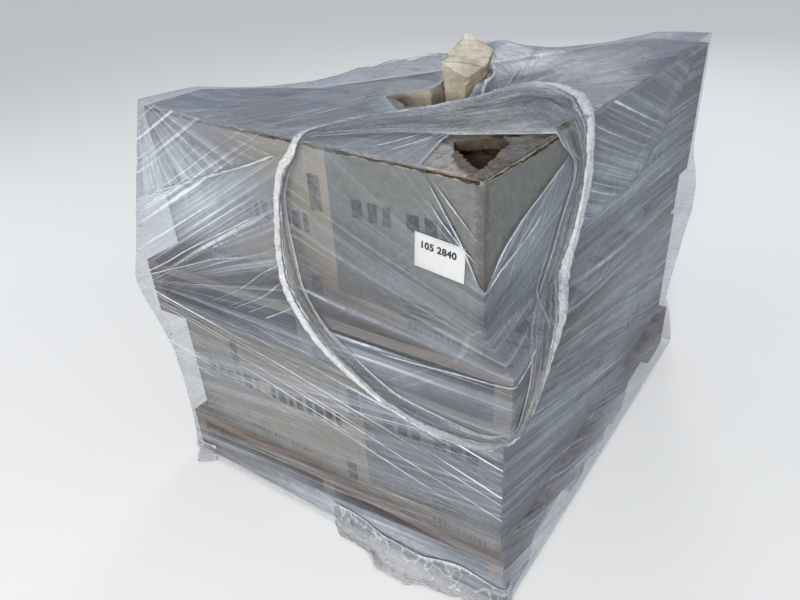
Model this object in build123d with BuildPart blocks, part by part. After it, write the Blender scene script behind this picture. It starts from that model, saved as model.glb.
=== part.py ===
"""Two crates of ledgestone veneer on two wooden pallets, stacked and held by stretch film.

Frame: Z up, origin on the floor under the middle of the load, front towards -Y. Sizes in
millimetres.
"""
import os
from math import cos, radians, sin

from build123d import *

# Pallets: rough-sawn, 40 by 48 inches, stringers along Y and deck boards along X
pallet_width = 1016.0
pallet_depth = 1219.0
board_thickness = 25.0
lead_board_width = 140.0
inner_board_width = 89.0
top_inner_boards = 5
bottom_inner_boards = 3
bottom_inner_pitch = 160.0
stringer_width = 38.0
stringer_height = 102.0
notch_length = 229.0
notch_height = 51.0
notch_from_end = 152.0
notch_corner = 19.0

# Crates: double-wall corrugated board, one size for both tiers
crate_width = 955.0
crate_depth = 1165.0
crate_height = 360.0
crate_wall = 8.0
crate_corner = 6.0

# How the tiers sit on one another: shift along X, shift along Y and turn in degrees
lower_pallet_place = (0.0, 0.0, 0.0)
lower_crate_place = (13.0, -10.0, 0.0)
upper_pallet_place = (-15.0, -5.0, 1.5)
upper_crate_place = (-9.0, 33.0, -3.5)

# Flaps: the end flaps lie over the side flaps
closed_flap_slit = 6.0
closed_side_gap = 60.0
end_flap_depth = 215.0
side_flap_depth = 165.0

# Damage to the upper crate: its back left corner has sunk along two creases that meet at a
# knee, its near corner is torn open
sunk_along_side = 992.0
sunk_along_back = 798.0
sunk_knee = (-200.0, -250.0)
sunk_side_depth = 227.0
sunk_back_depth = 176.0
tear_outline = [
    (324, -443), (358, -408), (396, -384), (430, -376), (424, -420), (438, -468),
    (453, -534), (446, -552), (420, -540), (384, -508), (350, -480),
]

# Stone: packed rows fill each crate, and loose pieces lie on the upper ones
stone_clearance = 1.0
lower_fill_gap = 12.0
upper_fill_drop = 90.0
corner_hollow = 240.0
corner_hollow_depth = 120.0
sunk_fill_gap = 12.0
stone_shoulder = 0.76
stone_shoulder_scale = 0.97
stone_top_scale = 0.85

# Loose stones: place on the fill, turn in degrees, length, width and height
loose_stones = [
    (-350, -352, 12, 220, 115, 58), (-118, -420, -20, 200, 105, 62),
    (66, -442, 8, 165, 115, 55), (-366, -160, 70, 190, 105, 24),
    (-170, -236, 25, 180, 100, 66), (14, -252, -35, 185, 95, 70),
    (214, -340, 55, 160, 95, 60), (334, -246, 95, 150, 90, 64),
    (-50, -70, 15, 170, 110, 72), (4, 84, -25, 185, 105, 66),
    (-214, -10, 50, 200, 110, 36), (332, -50, 80, 200, 105, 62),
    (190, 66, 35, 150, 100, 68), (306, 206, -15, 180, 115, 60),
    (-84, 232, 5, 170, 100, 26), (122, 252, 65, 180, 105, 64),
    (340, 370, 30, 200, 120, 58), (150, 430, -10, 170, 110, 36),
    (-10, 420, 80, 130, 80, 18), (232, -152, 80, 112, 72, 58),
    (24, -146, 25, 96, 66, 40),
]

# The stone that stands up through the film: its foot, and its split face that leans back
standing_place = (120.0, -98.0, 0.0)
standing_foot = [(-34, 32), (12, 40), (32, 8), (14, -34), (-30, -28)]
standing_face_middle = (15.0, -12.0, 166.0)
standing_face_turn = 33.0
standing_face_slope = 53.0
standing_face = [(3, 60), (64, 14), (55, -19), (2, -55), (-58, -12)]

# Stretch film, laid round both tiers
film_thickness = 2.5
film_clearance = 1.5
film_corner = 4.0
film_hem_height = 10.0
film_hem_flare = 10.0
film_step = 55.0
film_ledge_step = 90.0
film_ear = 10.0
film_mouth_ends = ((28, -362), (272, -20))
film_mouth_sides = ((72, -72), (236, -238))

# Paper label stuck on the film
label_width = 112.0
label_height = 73.0
label_thickness = 0.6
label_gap = 0.3
label_from_corner = 91.0
label_middle_height = 197.0
label_turn = -4.0

pallet_height = stringer_height + 2 * board_thickness
lower_crate_base = pallet_height
upper_pallet_base = lower_crate_base + crate_height
upper_crate_base = upper_pallet_base + pallet_height
load_top = upper_crate_base + crate_height
upper_fill_height = crate_height - crate_wall - upper_fill_drop
inner_width = crate_width - 2 * crate_wall
inner_depth = crate_depth - 2 * crate_wall
flap_layers = 2 * crate_wall


def tier_plane(place, height):
    """Return the plane of one tier, moved and turned on what it rests on."""
    shift_x, shift_y, turn = place
    x_axis = (cos(radians(turn)), sin(radians(turn)), 0)
    return Plane(origin=(shift_x, shift_y, height), x_dir=x_axis, z_dir=(0, 0, 1))


def board_places(inner_count, pitch):
    """Return the middle and width of each deck board along the pallet's depth."""
    end_middle = (pallet_depth - lead_board_width) / 2
    first = -pitch * (inner_count - 1) / 2
    inner = [(first + pitch * number, inner_board_width) for number in range(inner_count)]
    return [(-end_middle, lead_board_width), *inner, (end_middle, lead_board_width)]


def deck_boards(plane, places):
    """Return one deck: boards across the pallet's whole width that don't touch each other."""
    with BuildPart() as deck:
        with BuildSketch(plane):
            for middle, width in places:
                with Locations((0, middle)):
                    Rectangle(pallet_width, width)
        extrude(amount=board_thickness)
    return deck.part


def notched_stringers(plane):
    """Return the three stringers, each with two round-cornered fork notches underneath."""
    outer_x = (pallet_width - stringer_width) / 2
    side_plane = Plane(origin=plane.origin, x_dir=plane.y_dir, z_dir=plane.x_dir)
    notch_middle = pallet_depth / 2 - notch_from_end - notch_length / 2
    with BuildPart() as stringers:
        for offset_x in (-outer_x, 0, outer_x):
            with BuildSketch(side_plane.offset(offset_x - stringer_width / 2)):
                with Locations((0, stringer_height / 2)):
                    Rectangle(pallet_depth, stringer_height)
                with Locations((-notch_middle, 0), (notch_middle, 0)):
                    RectangleRounded(
                        notch_length, 2 * notch_height, notch_corner, mode=Mode.SUBTRACT
                    )
            extrude(amount=stringer_width)
    return stringers.part


def sunk_plane(crease_start, corner_depth, lift):
    """Return a sloping plane from a crease down to the sunken corner, lifted by a distance."""
    crate_top = tier_plane(upper_crate_place, load_top)
    start = crate_top.from_local_coords(Vector(*crease_start, 0))
    knee = crate_top.from_local_coords(Vector(*sunk_knee, 0))
    corner = crate_top.from_local_coords(Vector(-crate_width / 2, crate_depth / 2, -corner_depth))
    normal = (knee - start).cross(corner - start)
    if normal.Z < 0:
        normal = -normal
    return Plane(origin=start, x_dir=knee - start, z_dir=normal).offset(lift)


def sunk_room(lift):
    """Return the room above the upper crate's sunken corner, lifted off the crate."""
    on_side = (-crate_width / 2, crate_depth / 2 - sunk_along_side)
    on_back = (-crate_width / 2 + sunk_along_back, crate_depth / 2)
    room_height = load_top - upper_crate_base
    with BuildPart() as room:
        with BuildSketch(Plane.XY.offset(upper_crate_base)):
            Rectangle(2 * crate_width, 2 * crate_depth)
        extrude(amount=2 * room_height)
        split(bisect_by=sunk_plane(on_side, sunk_side_depth, lift), keep=Keep.TOP)
        split(bisect_by=sunk_plane(on_back, sunk_back_depth, lift), keep=Keep.TOP)
    return room.part


def stone_outline(length, width):
    """Return the plan of one split-faced stone, seven-sided and a little uneven."""
    return [
        (-length / 2, -0.3 * width), (-0.3 * length, -width / 2),
        (0.4 * length, -0.46 * width), (length / 2, 0.05 * width),
        (0.42 * length, 0.44 * width), (-0.1 * length, width / 2),
        (-0.47 * length, 0.36 * width),
    ]


def stone_bed(plane, x, y, turn):
    """Return the level plane under one stone, at its place and turn on the fill."""
    x_axis = plane.x_dir.rotate(Axis.Z, turn)
    return Plane(origin=plane.from_local_coords(Vector(x, y, 0)), x_dir=x_axis, z_dir=(0, 0, 1))


def loose_piece(bed, length, width, height):
    """Return one loose stone: steep sides up to a shoulder, then broken back to its top."""
    steps = [
        (0, 1), (stone_shoulder * height, stone_shoulder_scale), (height, stone_top_scale),
    ]
    with BuildPart() as piece:
        for level, scale in steps:
            with BuildSketch(bed.offset(level)):
                Polygon(*stone_outline(scale * length, scale * width), align=None)
        loft(ruled=True)
    return piece.part


def tier_corners(place, width, depth, reach):
    """Return a tier's four corners in plan, front left first, moved out by a reach."""
    plane = tier_plane(place, 0)
    half_x, half_y = width / 2 + reach, depth / 2 + reach
    places = [(-half_x, -half_y), (half_x, -half_y), (half_x, half_y), (-half_x, half_y)]
    return [plane.from_local_coords(Vector(x, y, 0)) for x, y in places]


def around(first, second):
    """Return the four corners of the square-set box round two tiers."""
    across = [corner.X for corner in first + second]
    along = [corner.Y for corner in first + second]
    left, right, front, back = min(across), max(across), min(along), max(along)
    return [Vector(left, front), Vector(right, front), Vector(right, back), Vector(left, back)]


def film_levels(reach, hem, top):
    """Return the film's heights with its four corners at each, from the hem to the top."""
    lower_pallet = tier_corners(lower_pallet_place, pallet_width, pallet_depth, reach)
    flared = tier_corners(
        lower_pallet_place, pallet_width, pallet_depth, reach + film_hem_flare
    )
    lower_crate = tier_corners(lower_crate_place, crate_width, crate_depth, reach)
    upper_pallet = tier_corners(upper_pallet_place, pallet_width, pallet_depth, reach)
    upper_crate = tier_corners(upper_crate_place, crate_width, crate_depth, reach)
    under = around(lower_crate, upper_pallet)
    over = around(upper_crate, upper_pallet)
    under[0] -= Vector(film_ear, film_ear)
    over[0] -= Vector(film_ear, film_ear)
    return [
        (hem, flared),
        (pallet_height, around(lower_pallet, lower_crate)),
        (lower_crate_base + film_step, lower_crate),
        (upper_pallet_base - film_step, lower_crate),
        (upper_pallet_base, under),
        (upper_crate_base, over),
        (upper_crate_base + film_ledge_step, upper_crate),
        (top, upper_crate),
    ]


# Boards of both pallets: even gaps on top, and the fork notches left free underneath
top_gaps = top_inner_boards + 1
top_pitch = (pallet_depth - 2 * lead_board_width + inner_board_width) / top_gaps
top_places = board_places(top_inner_boards, top_pitch)
bottom_places = board_places(bottom_inner_boards, bottom_inner_pitch)

lower_deck = tier_plane(lower_pallet_place, 0)
with BuildPart() as lower_pallet_bottom_boards:
    add(deck_boards(lower_deck, bottom_places))
with BuildPart() as lower_pallet_stringers:
    add(notched_stringers(lower_deck.offset(board_thickness)))
with BuildPart() as lower_pallet_top_boards:
    add(deck_boards(lower_deck.offset(board_thickness + stringer_height), top_places))

upper_deck = tier_plane(upper_pallet_place, upper_pallet_base)
with BuildPart() as upper_pallet_bottom_boards:
    add(deck_boards(upper_deck, bottom_places))
with BuildPart() as upper_pallet_stringers:
    add(notched_stringers(upper_deck.offset(board_thickness)))
with BuildPart() as upper_pallet_top_boards:
    add(deck_boards(upper_deck.offset(board_thickness + stringer_height), top_places))

# Lower crate: a floor, four walls, and closed flaps that leave a narrow slit
lower_floor = tier_plane(lower_crate_place, lower_crate_base)
with BuildPart() as lower_crate:
    with BuildSketch(lower_floor):
        RectangleRounded(crate_width, crate_depth, crate_corner)
    extrude(amount=crate_height)
    with BuildSketch(lower_floor.offset(crate_wall)):
        Rectangle(inner_width, inner_depth)
    extrude(amount=crate_height - crate_wall - flap_layers, mode=Mode.SUBTRACT)
    with BuildSketch(lower_floor.offset(crate_height - flap_layers)):
        Rectangle(closed_side_gap, inner_depth)
    extrude(amount=crate_wall, mode=Mode.SUBTRACT)
    with BuildSketch(lower_floor.offset(crate_height - crate_wall)):
        Rectangle(crate_width, closed_flap_slit)
    extrude(amount=crate_wall, mode=Mode.SUBTRACT)

with BuildPart() as lower_stone_core:
    with BuildSketch(lower_floor.offset(crate_wall)):
        Rectangle(inner_width - 2 * stone_clearance, inner_depth - 2 * stone_clearance)
    extrude(amount=crate_height - crate_wall - flap_layers - lower_fill_gap)

# Upper crate: the same box with its flaps folded in round an open middle
upper_floor = tier_plane(upper_crate_place, upper_crate_base)
with BuildPart() as upper_crate:
    with BuildSketch(upper_floor):
        RectangleRounded(crate_width, crate_depth, crate_corner)
    extrude(amount=crate_height)
    with BuildSketch(upper_floor.offset(crate_wall)):
        Rectangle(inner_width, inner_depth)
    extrude(amount=crate_height - crate_wall - flap_layers, mode=Mode.SUBTRACT)
    with BuildSketch(upper_floor.offset(crate_height - flap_layers)):
        Rectangle(crate_width - 2 * side_flap_depth, inner_depth)
    extrude(amount=crate_wall, mode=Mode.SUBTRACT)
    with BuildSketch(upper_floor.offset(crate_height - crate_wall)):
        Rectangle(inner_width, crate_depth - 2 * end_flap_depth)
    extrude(amount=crate_wall, mode=Mode.SUBTRACT)
    with BuildSketch(upper_floor.offset(crate_height - flap_layers)):
        Polygon(*tear_outline, align=None)
    extrude(amount=flap_layers, mode=Mode.SUBTRACT)
    add(sunk_room(0), mode=Mode.SUBTRACT)

# Packed stone below the loose pieces, lower where the crate is torn and where it has sunk
fill_floor = upper_floor.offset(crate_wall)
fill_width = inner_width - 2 * stone_clearance
fill_depth = inner_depth - 2 * stone_clearance
with BuildPart() as upper_stone_core:
    with BuildSketch(fill_floor):
        Rectangle(fill_width, fill_depth)
    extrude(amount=upper_fill_height)
    with BuildSketch(fill_floor.offset(upper_fill_height - corner_hollow_depth)):
        with Locations((fill_width / 2, -fill_depth / 2)):
            Rectangle(2 * corner_hollow, 2 * corner_hollow)
    extrude(amount=corner_hollow_depth, mode=Mode.SUBTRACT)
    add(sunk_room(-sunk_fill_gap), mode=Mode.SUBTRACT)

# Loose stones: split-faced pieces that lie flat on the packed ones
fill_top = fill_floor.offset(upper_fill_height)
with BuildPart() as loose_stone_pieces:
    for x, y, turn, length, width, height in loose_stones:
        add(loose_piece(stone_bed(fill_top, x, y, turn), length, width, height))

# The stone that stands up through the film's mouth, with a slanting split face
standing_bed = stone_bed(fill_top, *standing_place)
middle_x, middle_y, middle_z = standing_face_middle
face_side = standing_bed.x_dir.rotate(Axis.Z, standing_face_turn)
face_plane = Plane(
    origin=standing_bed.from_local_coords(Vector(middle_x, middle_y, middle_z)),
    x_dir=face_side,
    z_dir=Vector(0, 0, 1).rotate(Axis((0, 0, 0), face_side), standing_face_slope),
)
with BuildPart() as standing_stone:
    with BuildSketch(standing_bed):
        Polygon(*standing_foot, align=None)
    with BuildSketch(face_plane):
        Polygon(*standing_face, align=None)
    loft(ruled=True)

# Stretch film: a thin shell round both tiers, with a mouth in its roof
film_inside_top = load_top + film_clearance
inside_levels = film_levels(film_clearance, film_hem_height - 1, film_inside_top)
outside_levels = film_levels(
    film_clearance + film_thickness, film_hem_height, film_inside_top + film_thickness
)


def film_hull(levels, lift, corner_radius):
    """Return the closed hull through the film's levels, cut along the sunken corner."""
    with BuildPart() as hull:
        for height, corners in levels:
            with BuildSketch(Plane.XY.offset(height)) as section:
                Polygon(*[(corner.X, corner.Y) for corner in corners], align=None)
                fillet(section.vertices(), radius=corner_radius)
        loft(ruled=True)
        add(sunk_room(lift), mode=Mode.SUBTRACT)
    return hull.part


with BuildPart() as stretch_film:
    outside_lift = film_clearance + film_thickness
    add(film_hull(outside_levels, outside_lift, film_corner + film_thickness))
    add(film_hull(inside_levels, film_clearance, film_corner), mode=Mode.SUBTRACT)
    mouth_start, mouth_end = film_mouth_ends
    far_side, near_side = film_mouth_sides
    with BuildSketch(tier_plane(upper_crate_place, film_inside_top)):
        with BuildLine():
            ThreePointArc(mouth_start, far_side, mouth_end)
            ThreePointArc(mouth_end, near_side, mouth_start)
        make_face()
    extrude(amount=film_thickness, both=True, mode=Mode.SUBTRACT)

# Paper label on the film's front, near the torn corner
front_reach = crate_depth / 2 + film_clearance + film_thickness + label_gap
label_face = Plane(
    origin=upper_floor.from_local_coords(
        Vector(crate_width / 2 - label_from_corner, -front_reach, label_middle_height)
    ),
    x_dir=upper_floor.x_dir,
    z_dir=-upper_floor.y_dir,
)
with BuildPart() as paper_label:
    with BuildSketch(label_face):
        Rectangle(label_width, label_height, rotation=label_turn)
    extrude(amount=label_thickness)

# The origin goes under the middle of the film, which is the widest piece
middle = stretch_film.part.bounding_box().center()
to_origin = Location((-middle.X, -middle.Y, 0))

os.makedirs("parts", exist_ok=True)
pieces = {
    "lower_pallet_bottom_boards": lower_pallet_bottom_boards,
    "lower_pallet_stringers": lower_pallet_stringers,
    "lower_pallet_top_boards": lower_pallet_top_boards,
    "lower_crate": lower_crate,
    "lower_stone_core": lower_stone_core,
    "upper_pallet_bottom_boards": upper_pallet_bottom_boards,
    "upper_pallet_stringers": upper_pallet_stringers,
    "upper_pallet_top_boards": upper_pallet_top_boards,
    "upper_crate": upper_crate,
    "upper_stone_core": upper_stone_core,
    "loose_stones": loose_stone_pieces,
    "standing_stone": standing_stone,
    "stretch_film": stretch_film,
    "paper_label": paper_label,
}
for name, piece in pieces.items():
    piece.part.locate(to_origin)
    piece.part.label = name
    export_step(piece.part, f"parts/{name}.step")
print(f"middle of the film at {middle.X:.2f}, {middle.Y:.2f}")
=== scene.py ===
"""Two crates of ledgestone on two wooden pallets, wrapped in stretch film.

The file is laid out as an add-on and is run as a script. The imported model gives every
rigid form; the operators below give it wood, board, stone and film.
"""

import math

import bpy
import numpy as np
from mathutils import Euler, Matrix, Vector


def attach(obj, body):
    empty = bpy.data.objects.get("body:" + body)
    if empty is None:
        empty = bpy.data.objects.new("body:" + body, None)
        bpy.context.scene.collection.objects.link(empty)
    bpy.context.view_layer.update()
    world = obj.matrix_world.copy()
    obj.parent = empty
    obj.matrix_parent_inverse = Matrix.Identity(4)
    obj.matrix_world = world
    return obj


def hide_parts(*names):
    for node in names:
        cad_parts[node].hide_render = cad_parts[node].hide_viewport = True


bl_info = {
    "name": "Film-wrapped stone pallet",
    "version": (1, 0, 0),
    "blender": (4, 5, 0),
    "location": "View3D > Sidebar > Stone pallet",
    "description": "Dresses the packed crates, pallets and stones and wraps them in film",
    "category": "Add Mesh",
}

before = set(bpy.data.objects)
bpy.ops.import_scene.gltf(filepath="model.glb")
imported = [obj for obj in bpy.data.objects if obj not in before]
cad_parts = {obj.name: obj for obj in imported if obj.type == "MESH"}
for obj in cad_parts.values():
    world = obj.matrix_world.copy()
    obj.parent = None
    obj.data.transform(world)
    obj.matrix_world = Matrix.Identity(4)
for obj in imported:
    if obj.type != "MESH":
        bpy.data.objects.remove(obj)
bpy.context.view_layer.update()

# Middle of each tier in the frame and its turn in degrees
TIERS = {
    "lower_pallet": (0.01542, -0.00309, 0.0),
    "lower_crate": (0.02842, -0.01309, 0.0),
    "upper_pallet": (0.00042, -0.00809, 1.5),
    "upper_crate": (0.00642, 0.02991, -3.5),
}
CRATE_WIDTH, CRATE_DEPTH = 0.955, 1.165
LOWER_BASE, UPPER_BASE, LOAD_TOP = 0.152, 0.664, 1.024
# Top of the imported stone: the loose pieces reach down to it and the chips lie on it
STONE_BASE, CHIP_BASE = 0.9341, 0.934
# The upper crate's sunken corner: two creases that meet at a knee, and each plane's depth
SUNK_KNEE = (-0.200, -0.250)
SUNK_CREASES = [((-0.4775, -0.4095), 0.227), ((0.3205, 0.5825), 0.176)]


# Small helpers

def in_tier(tier, x, y):
    """Frame place of points given in one tier's own plan."""
    middle_x, middle_y, turn = TIERS[tier]
    c, s = math.cos(math.radians(turn)), math.sin(math.radians(turn))
    x, y = np.asarray(x, float), np.asarray(y, float)
    return middle_x + c * x - s * y, middle_y + s * x + c * y


def to_tier(tier, x, y):
    """A tier's own plan place of points given in the frame."""
    middle_x, middle_y, turn = TIERS[tier]
    c, s = math.cos(math.radians(turn)), math.sin(math.radians(turn))
    x, y = np.asarray(x, float) - middle_x, np.asarray(y, float) - middle_y
    return c * x + s * y, -s * x + c * y


def sunk_drop(x, y):
    """How far the upper crate's top has sunk at places in its own plan."""
    levels = []
    for (start_x, start_y), depth in SUNK_CREASES:
        start = np.array([start_x, start_y, 0])
        knee = np.array([*SUNK_KNEE, 0])
        corner = np.array([-CRATE_WIDTH / 2, CRATE_DEPTH / 2, -depth])
        normal = np.cross(knee - start, corner - start)
        levels.append(-(normal[0] * (x - start_x) + normal[1] * (y - start_y)) / normal[2])
    return np.maximum(-np.maximum(*levels), 0)


def lattice(ix, iy, seed):
    """A number from 0 to 1 for each lattice point, the same at every run."""
    n = (ix * 374761393 + iy * 668265263 + seed * 2147483647) & 0xFFFFFFFF
    n = ((n ^ (n >> 13)) * 1274126177) & 0xFFFFFFFF
    n = (n ^ (n >> 16)) & 0xFFFFFFFF
    return n.astype(float) / 4294967295.0


def soft_noise(x, y, seed, octaves=1):
    """Smooth noise from -1 to 1 at each place."""
    total, size, reach = 0.0, 1.0, 0.0
    x, y = np.asarray(x, float), np.asarray(y, float)
    for octave in range(octaves):
        fx, fy = np.floor(x), np.floor(y)
        tx, ty = x - fx, y - fy
        tx, ty = tx * tx * (3 - 2 * tx), ty * ty * (3 - 2 * ty)
        ix, iy = fx.astype(np.int64), fy.astype(np.int64)
        k = seed + 17 * octave
        low = lattice(ix, iy, k) * (1 - tx) + lattice(ix + 1, iy, k) * tx
        high = lattice(ix, iy + 1, k) * (1 - tx) + lattice(ix + 1, iy + 1, k) * tx
        total = total + size * (2 * (low * (1 - ty) + high * ty) - 1)
        reach += size
        x, y, size = 2.03 * x + 3.1, 2.03 * y + 1.7, 0.5 * size
    return total / reach


def signed_distance(px, py, polygon):
    """Distance to a polygon's edge, positive inside it."""
    best = np.full(np.shape(px), 1e9)
    inside = np.zeros(np.shape(px), bool)
    for (ax, ay), (bx, by) in zip(polygon, polygon[1:] + polygon[:1]):
        ex, ey = bx - ax, by - ay
        t = np.clip(((px - ax) * ex + (py - ay) * ey) / (ex * ex + ey * ey), 0, 1)
        best = np.minimum(best, np.hypot(px - ax - t * ex, py - ay - t * ey))
        crosses = (ay > py) != (by > py)
        with np.errstate(divide="ignore", invalid="ignore"):
            at = ax + (py - ay) * ex / ey if ey else np.full(np.shape(px), 1e9)
        inside ^= crosses & (px < at)
    return np.where(inside, best, -best)


def line_distance(px, py, start, end):
    """Distance to a straight line piece, and how far along it from 0 to 1."""
    ex, ey = end[0] - start[0], end[1] - start[1]
    along = ((px - start[0]) * ex + (py - start[1]) * ey) / (ex * ex + ey * ey)
    t = np.clip(along, 0, 1)
    return np.hypot(px - start[0] - t * ex, py - start[1] - t * ey), along


def unit(rows):
    """Directions of length one."""
    return rows / np.linalg.norm(rows, axis=-1, keepdims=True)


def resampled(at, knots, rows):
    """Rows of numbers read off at places between their knots."""
    return np.stack([np.interp(at, knots, column) for column in rows.T], axis=-1)


def evened(rows, times, ring=None):
    """Rows drawn towards their neighbours, between two ends or round a ring on one axis."""
    for _ in range(times):
        if ring is None:
            rows[1:-1] = 0.25 * rows[:-2] + 0.5 * rows[1:-1] + 0.25 * rows[2:]
        else:
            rows = 0.25 * np.roll(rows, 1, ring) + 0.5 * rows + 0.25 * np.roll(rows, -1, ring)
    return rows


def grid_faces(rows, columns, closed_rows=False, closed_columns=False):
    """Four-sided faces of a grid of points, which may close on itself either way."""
    index = np.arange(rows * columns).reshape(rows, columns)
    if closed_rows:
        index = np.concatenate([index, index[:1]])
    if closed_columns:
        index = np.concatenate([index, index[:, :1]], axis=1)
    corners = [index[:-1, :-1], index[:-1, 1:], index[1:, 1:], index[1:, :-1]]
    return np.stack(corners, axis=-1).reshape(-1, 4)


def trimmed(faces):
    """The points that some faces use, and those faces numbered anew."""
    used, fresh = np.unique(faces, return_inverse=True)
    return used, fresh.reshape(faces.shape).tolist()


def tinted(colour, share):
    """A colour made darker or lighter by a share."""
    return tuple(min(1.0, share * c) for c in colour)


def deselect():
    """Nothing is selected or active afterwards."""
    if bpy.context.object and bpy.context.object.mode != "OBJECT":
        bpy.ops.object.mode_set(mode="OBJECT")
    for piece in list(bpy.context.selected_objects):
        piece.select_set(False)
    bpy.context.view_layer.objects.active = None


def make_active(piece):
    """Only this piece is selected and active afterwards."""
    deselect()
    piece.select_set(True)
    bpy.context.view_layer.objects.active = piece


def settle(piece):
    """A finished piece's place goes into its mesh, and it rides on the one body."""
    make_active(piece)
    bpy.ops.object.transform_apply(location=True, rotation=True, scale=True)
    deselect()
    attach(piece, "root")
    return piece


def surface(name, points, faces, finish, attributes=(), smooth=True):
    """A mesh made from points and faces, with numbers kept at its points."""
    mesh = bpy.data.meshes.new(name)
    mesh.from_pydata([tuple(p) for p in points], [], faces)
    mesh.update()
    for key, kind, values in attributes:
        layer = mesh.attributes.new(key, kind, "POINT")
        field = "vector" if kind == "FLOAT_VECTOR" else "value"
        layer.data.foreach_set(field, np.asarray(values, np.float32).ravel())
    mesh.polygons.foreach_set("use_smooth", [smooth] * len(mesh.polygons))
    mesh.materials.append(finish)
    piece = bpy.data.objects.new(name, mesh)
    bpy.context.scene.collection.objects.link(piece)
    return piece


def apply_modifier(piece, kind, **settings):
    """One modifier, set and applied."""
    make_active(piece)
    modifier = piece.modifiers.new(kind.lower(), kind)
    for key, value in settings.items():
        setattr(modifier, key, value)
    bpy.ops.object.modifier_apply(modifier=modifier.name)


def give(node, finish):
    """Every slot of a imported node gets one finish."""
    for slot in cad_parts[node].material_slots:
        slot.material = finish


def taken_apart(source):
    """A primitive's points and faces. The primitive itself is removed."""
    points = np.array([v.co for v in source.data.vertices])
    faces = [list(p.vertices) for p in source.data.polygons]
    bpy.data.objects.remove(source)
    return points, faces


class Finish:
    """A material whose nodes are added one after another."""

    def __init__(self, name, **sockets):
        self.material = bpy.data.materials.new(name)
        self.material.use_nodes = True
        self.tree = self.material.node_tree
        self.shader = self.tree.nodes["Principled BSDF"]
        for socket, value in sockets.items():
            self.shader.inputs[socket.replace("_", " ")].default_value = value

    def put(self, node, socket, value):
        """A socket gets a link or a number."""
        target = node.inputs[socket]
        if isinstance(value, bpy.types.NodeSocket):
            self.tree.links.new(value, target)
        else:
            target.default_value = value

    def add(self, kind, sockets=(), out=0, **settings):
        """A node with its settings and sockets; its output is returned."""
        node = self.tree.nodes.new("ShaderNode" + kind)
        for key, value in settings.items():
            setattr(node, key, value)
        for socket, value in dict(sockets).items():
            self.put(node, socket, value)
        return node.outputs[out]

    def place(self):
        """Object coordinates."""
        return self.add("TexCoord", out="Object")

    def given(self, key, out="Fac"):
        """A number or vector kept at the mesh's points."""
        return self.add("Attribute", out=out, attribute_name=key)

    def facing(self):
        """The way that the surface faces."""
        return self.add("NewGeometry", out="Normal")

    def part(self, vector, axis):
        """One number of a vector."""
        return self.add("SeparateXYZ", {0: vector}, out=axis)

    def mapped(self, vector, scale, shift=(0, 0, 0)):
        """A vector scaled and shifted."""
        return self.add("Mapping", {"Vector": vector, "Scale": scale, "Location": shift})

    def noise(self, vector, scale, detail=3.0, roughness=0.5, distortion=0.0):
        """Cloudy noise."""
        sockets = {"Vector": vector, "Scale": scale, "Detail": detail}
        sockets.update(Roughness=roughness, Distortion=distortion)
        return self.add("TexNoise", sockets)

    def math(self, operation, a, b=0.0, clamp=False):
        """One sum."""
        return self.add("Math", {0: a, 1: b}, operation=operation, use_clamp=clamp)

    def product(self, value, *others):
        """Numbers multiplied one after another."""
        for other in others:
            value = self.math("MULTIPLY", value, other)
        return value

    def total(self, value, *parts):
        """A number with shares of other numbers added to it."""
        for part, share in parts:
            value = self.math("ADD", value, self.product(part, share))
        return value

    def sway(self, noise, reach):
        """A noise's swing to both sides of nothing."""
        return self.product(self.math("SUBTRACT", noise, 0.5), reach)

    def spread(self, value, low, high, to_low=0.0, to_high=1.0, smooth=False):
        """A range of numbers stretched over another range."""
        return self.add(
            "MapRange",
            {0: value, 1: low, 2: high, 3: to_low, 4: to_high},
            interpolation_type="SMOOTHSTEP" if smooth else "LINEAR",
        )

    def mix(self, factor, a, b, blend="MIX"):
        """Two colours mixed."""
        node = self.tree.nodes.new("ShaderNodeMix")
        node.data_type, node.blend_type = "RGBA", blend
        for socket, value in ((0, factor), (6, a), (7, b)):
            if not isinstance(value, bpy.types.NodeSocket) and socket:
                value = (*value[:3], 1.0)
            self.put(node, socket, value)
        return node.outputs[2]

    def ramp(self, factor, *stops):
        """A colour read off a row of stops."""
        node = self.tree.nodes.new("ShaderNodeValToRGB")
        self.put(node, 0, factor)
        elements = node.color_ramp.elements
        while len(elements) < len(stops):
            elements.new(0.5)
        for element, (at, colour) in zip(elements, stops):
            element.position, element.color = at, (*colour[:3], 1.0)
        return node.outputs[0]

    def bump(self, height, distance, strength):
        """Relief finer than the mesh."""
        return self.add("Bump", {"Height": height, "Distance": distance, "Strength": strength})

    def done(self, **sockets):
        """The shader's sockets are filled, and the material is returned."""
        for socket, value in sockets.items():
            self.put(self.shader, socket.replace("_", " "), value)
        return self.material


# Settings that a user would change

COLOUR = {"subtype": "COLOR", "size": 3, "min": 0, "max": 1}


class StageSettings(bpy.types.PropertyGroup):
    """Floor, light and camera."""

    floor_colour: bpy.props.FloatVectorProperty(
        name="Floor colour",
        description="Colour of the plain floor and backdrop",
        default=(0.80, 0.80, 0.79),
        **COLOUR,
    )
    key_power: bpy.props.FloatProperty(
        name="Key light",
        description="Power of the large lamp behind the viewer's right shoulder",
        unit="POWER",
        default=150.0,
    )
    world_level: bpy.props.FloatProperty(
        name="Room light", description="Level of the even light", default=0.34
    )
    lens: bpy.props.FloatProperty(
        name="Lens", description="Focal length", unit="CAMERA", default=30.749
    )


class WoodSettings(bpy.types.PropertyGroup):
    """Colours of the pallets' wood."""

    lower_colour: bpy.props.FloatVectorProperty(
        name="Lower pallet",
        description="Pale colour of the lower pallet's wood",
        default=(0.40, 0.29, 0.19),
        **COLOUR,
    )
    upper_colour: bpy.props.FloatVectorProperty(
        name="Upper pallet",
        description="Pale colour of the upper pallet's weathered wood",
        default=(0.30, 0.25, 0.19),
        **COLOUR,
    )


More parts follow.
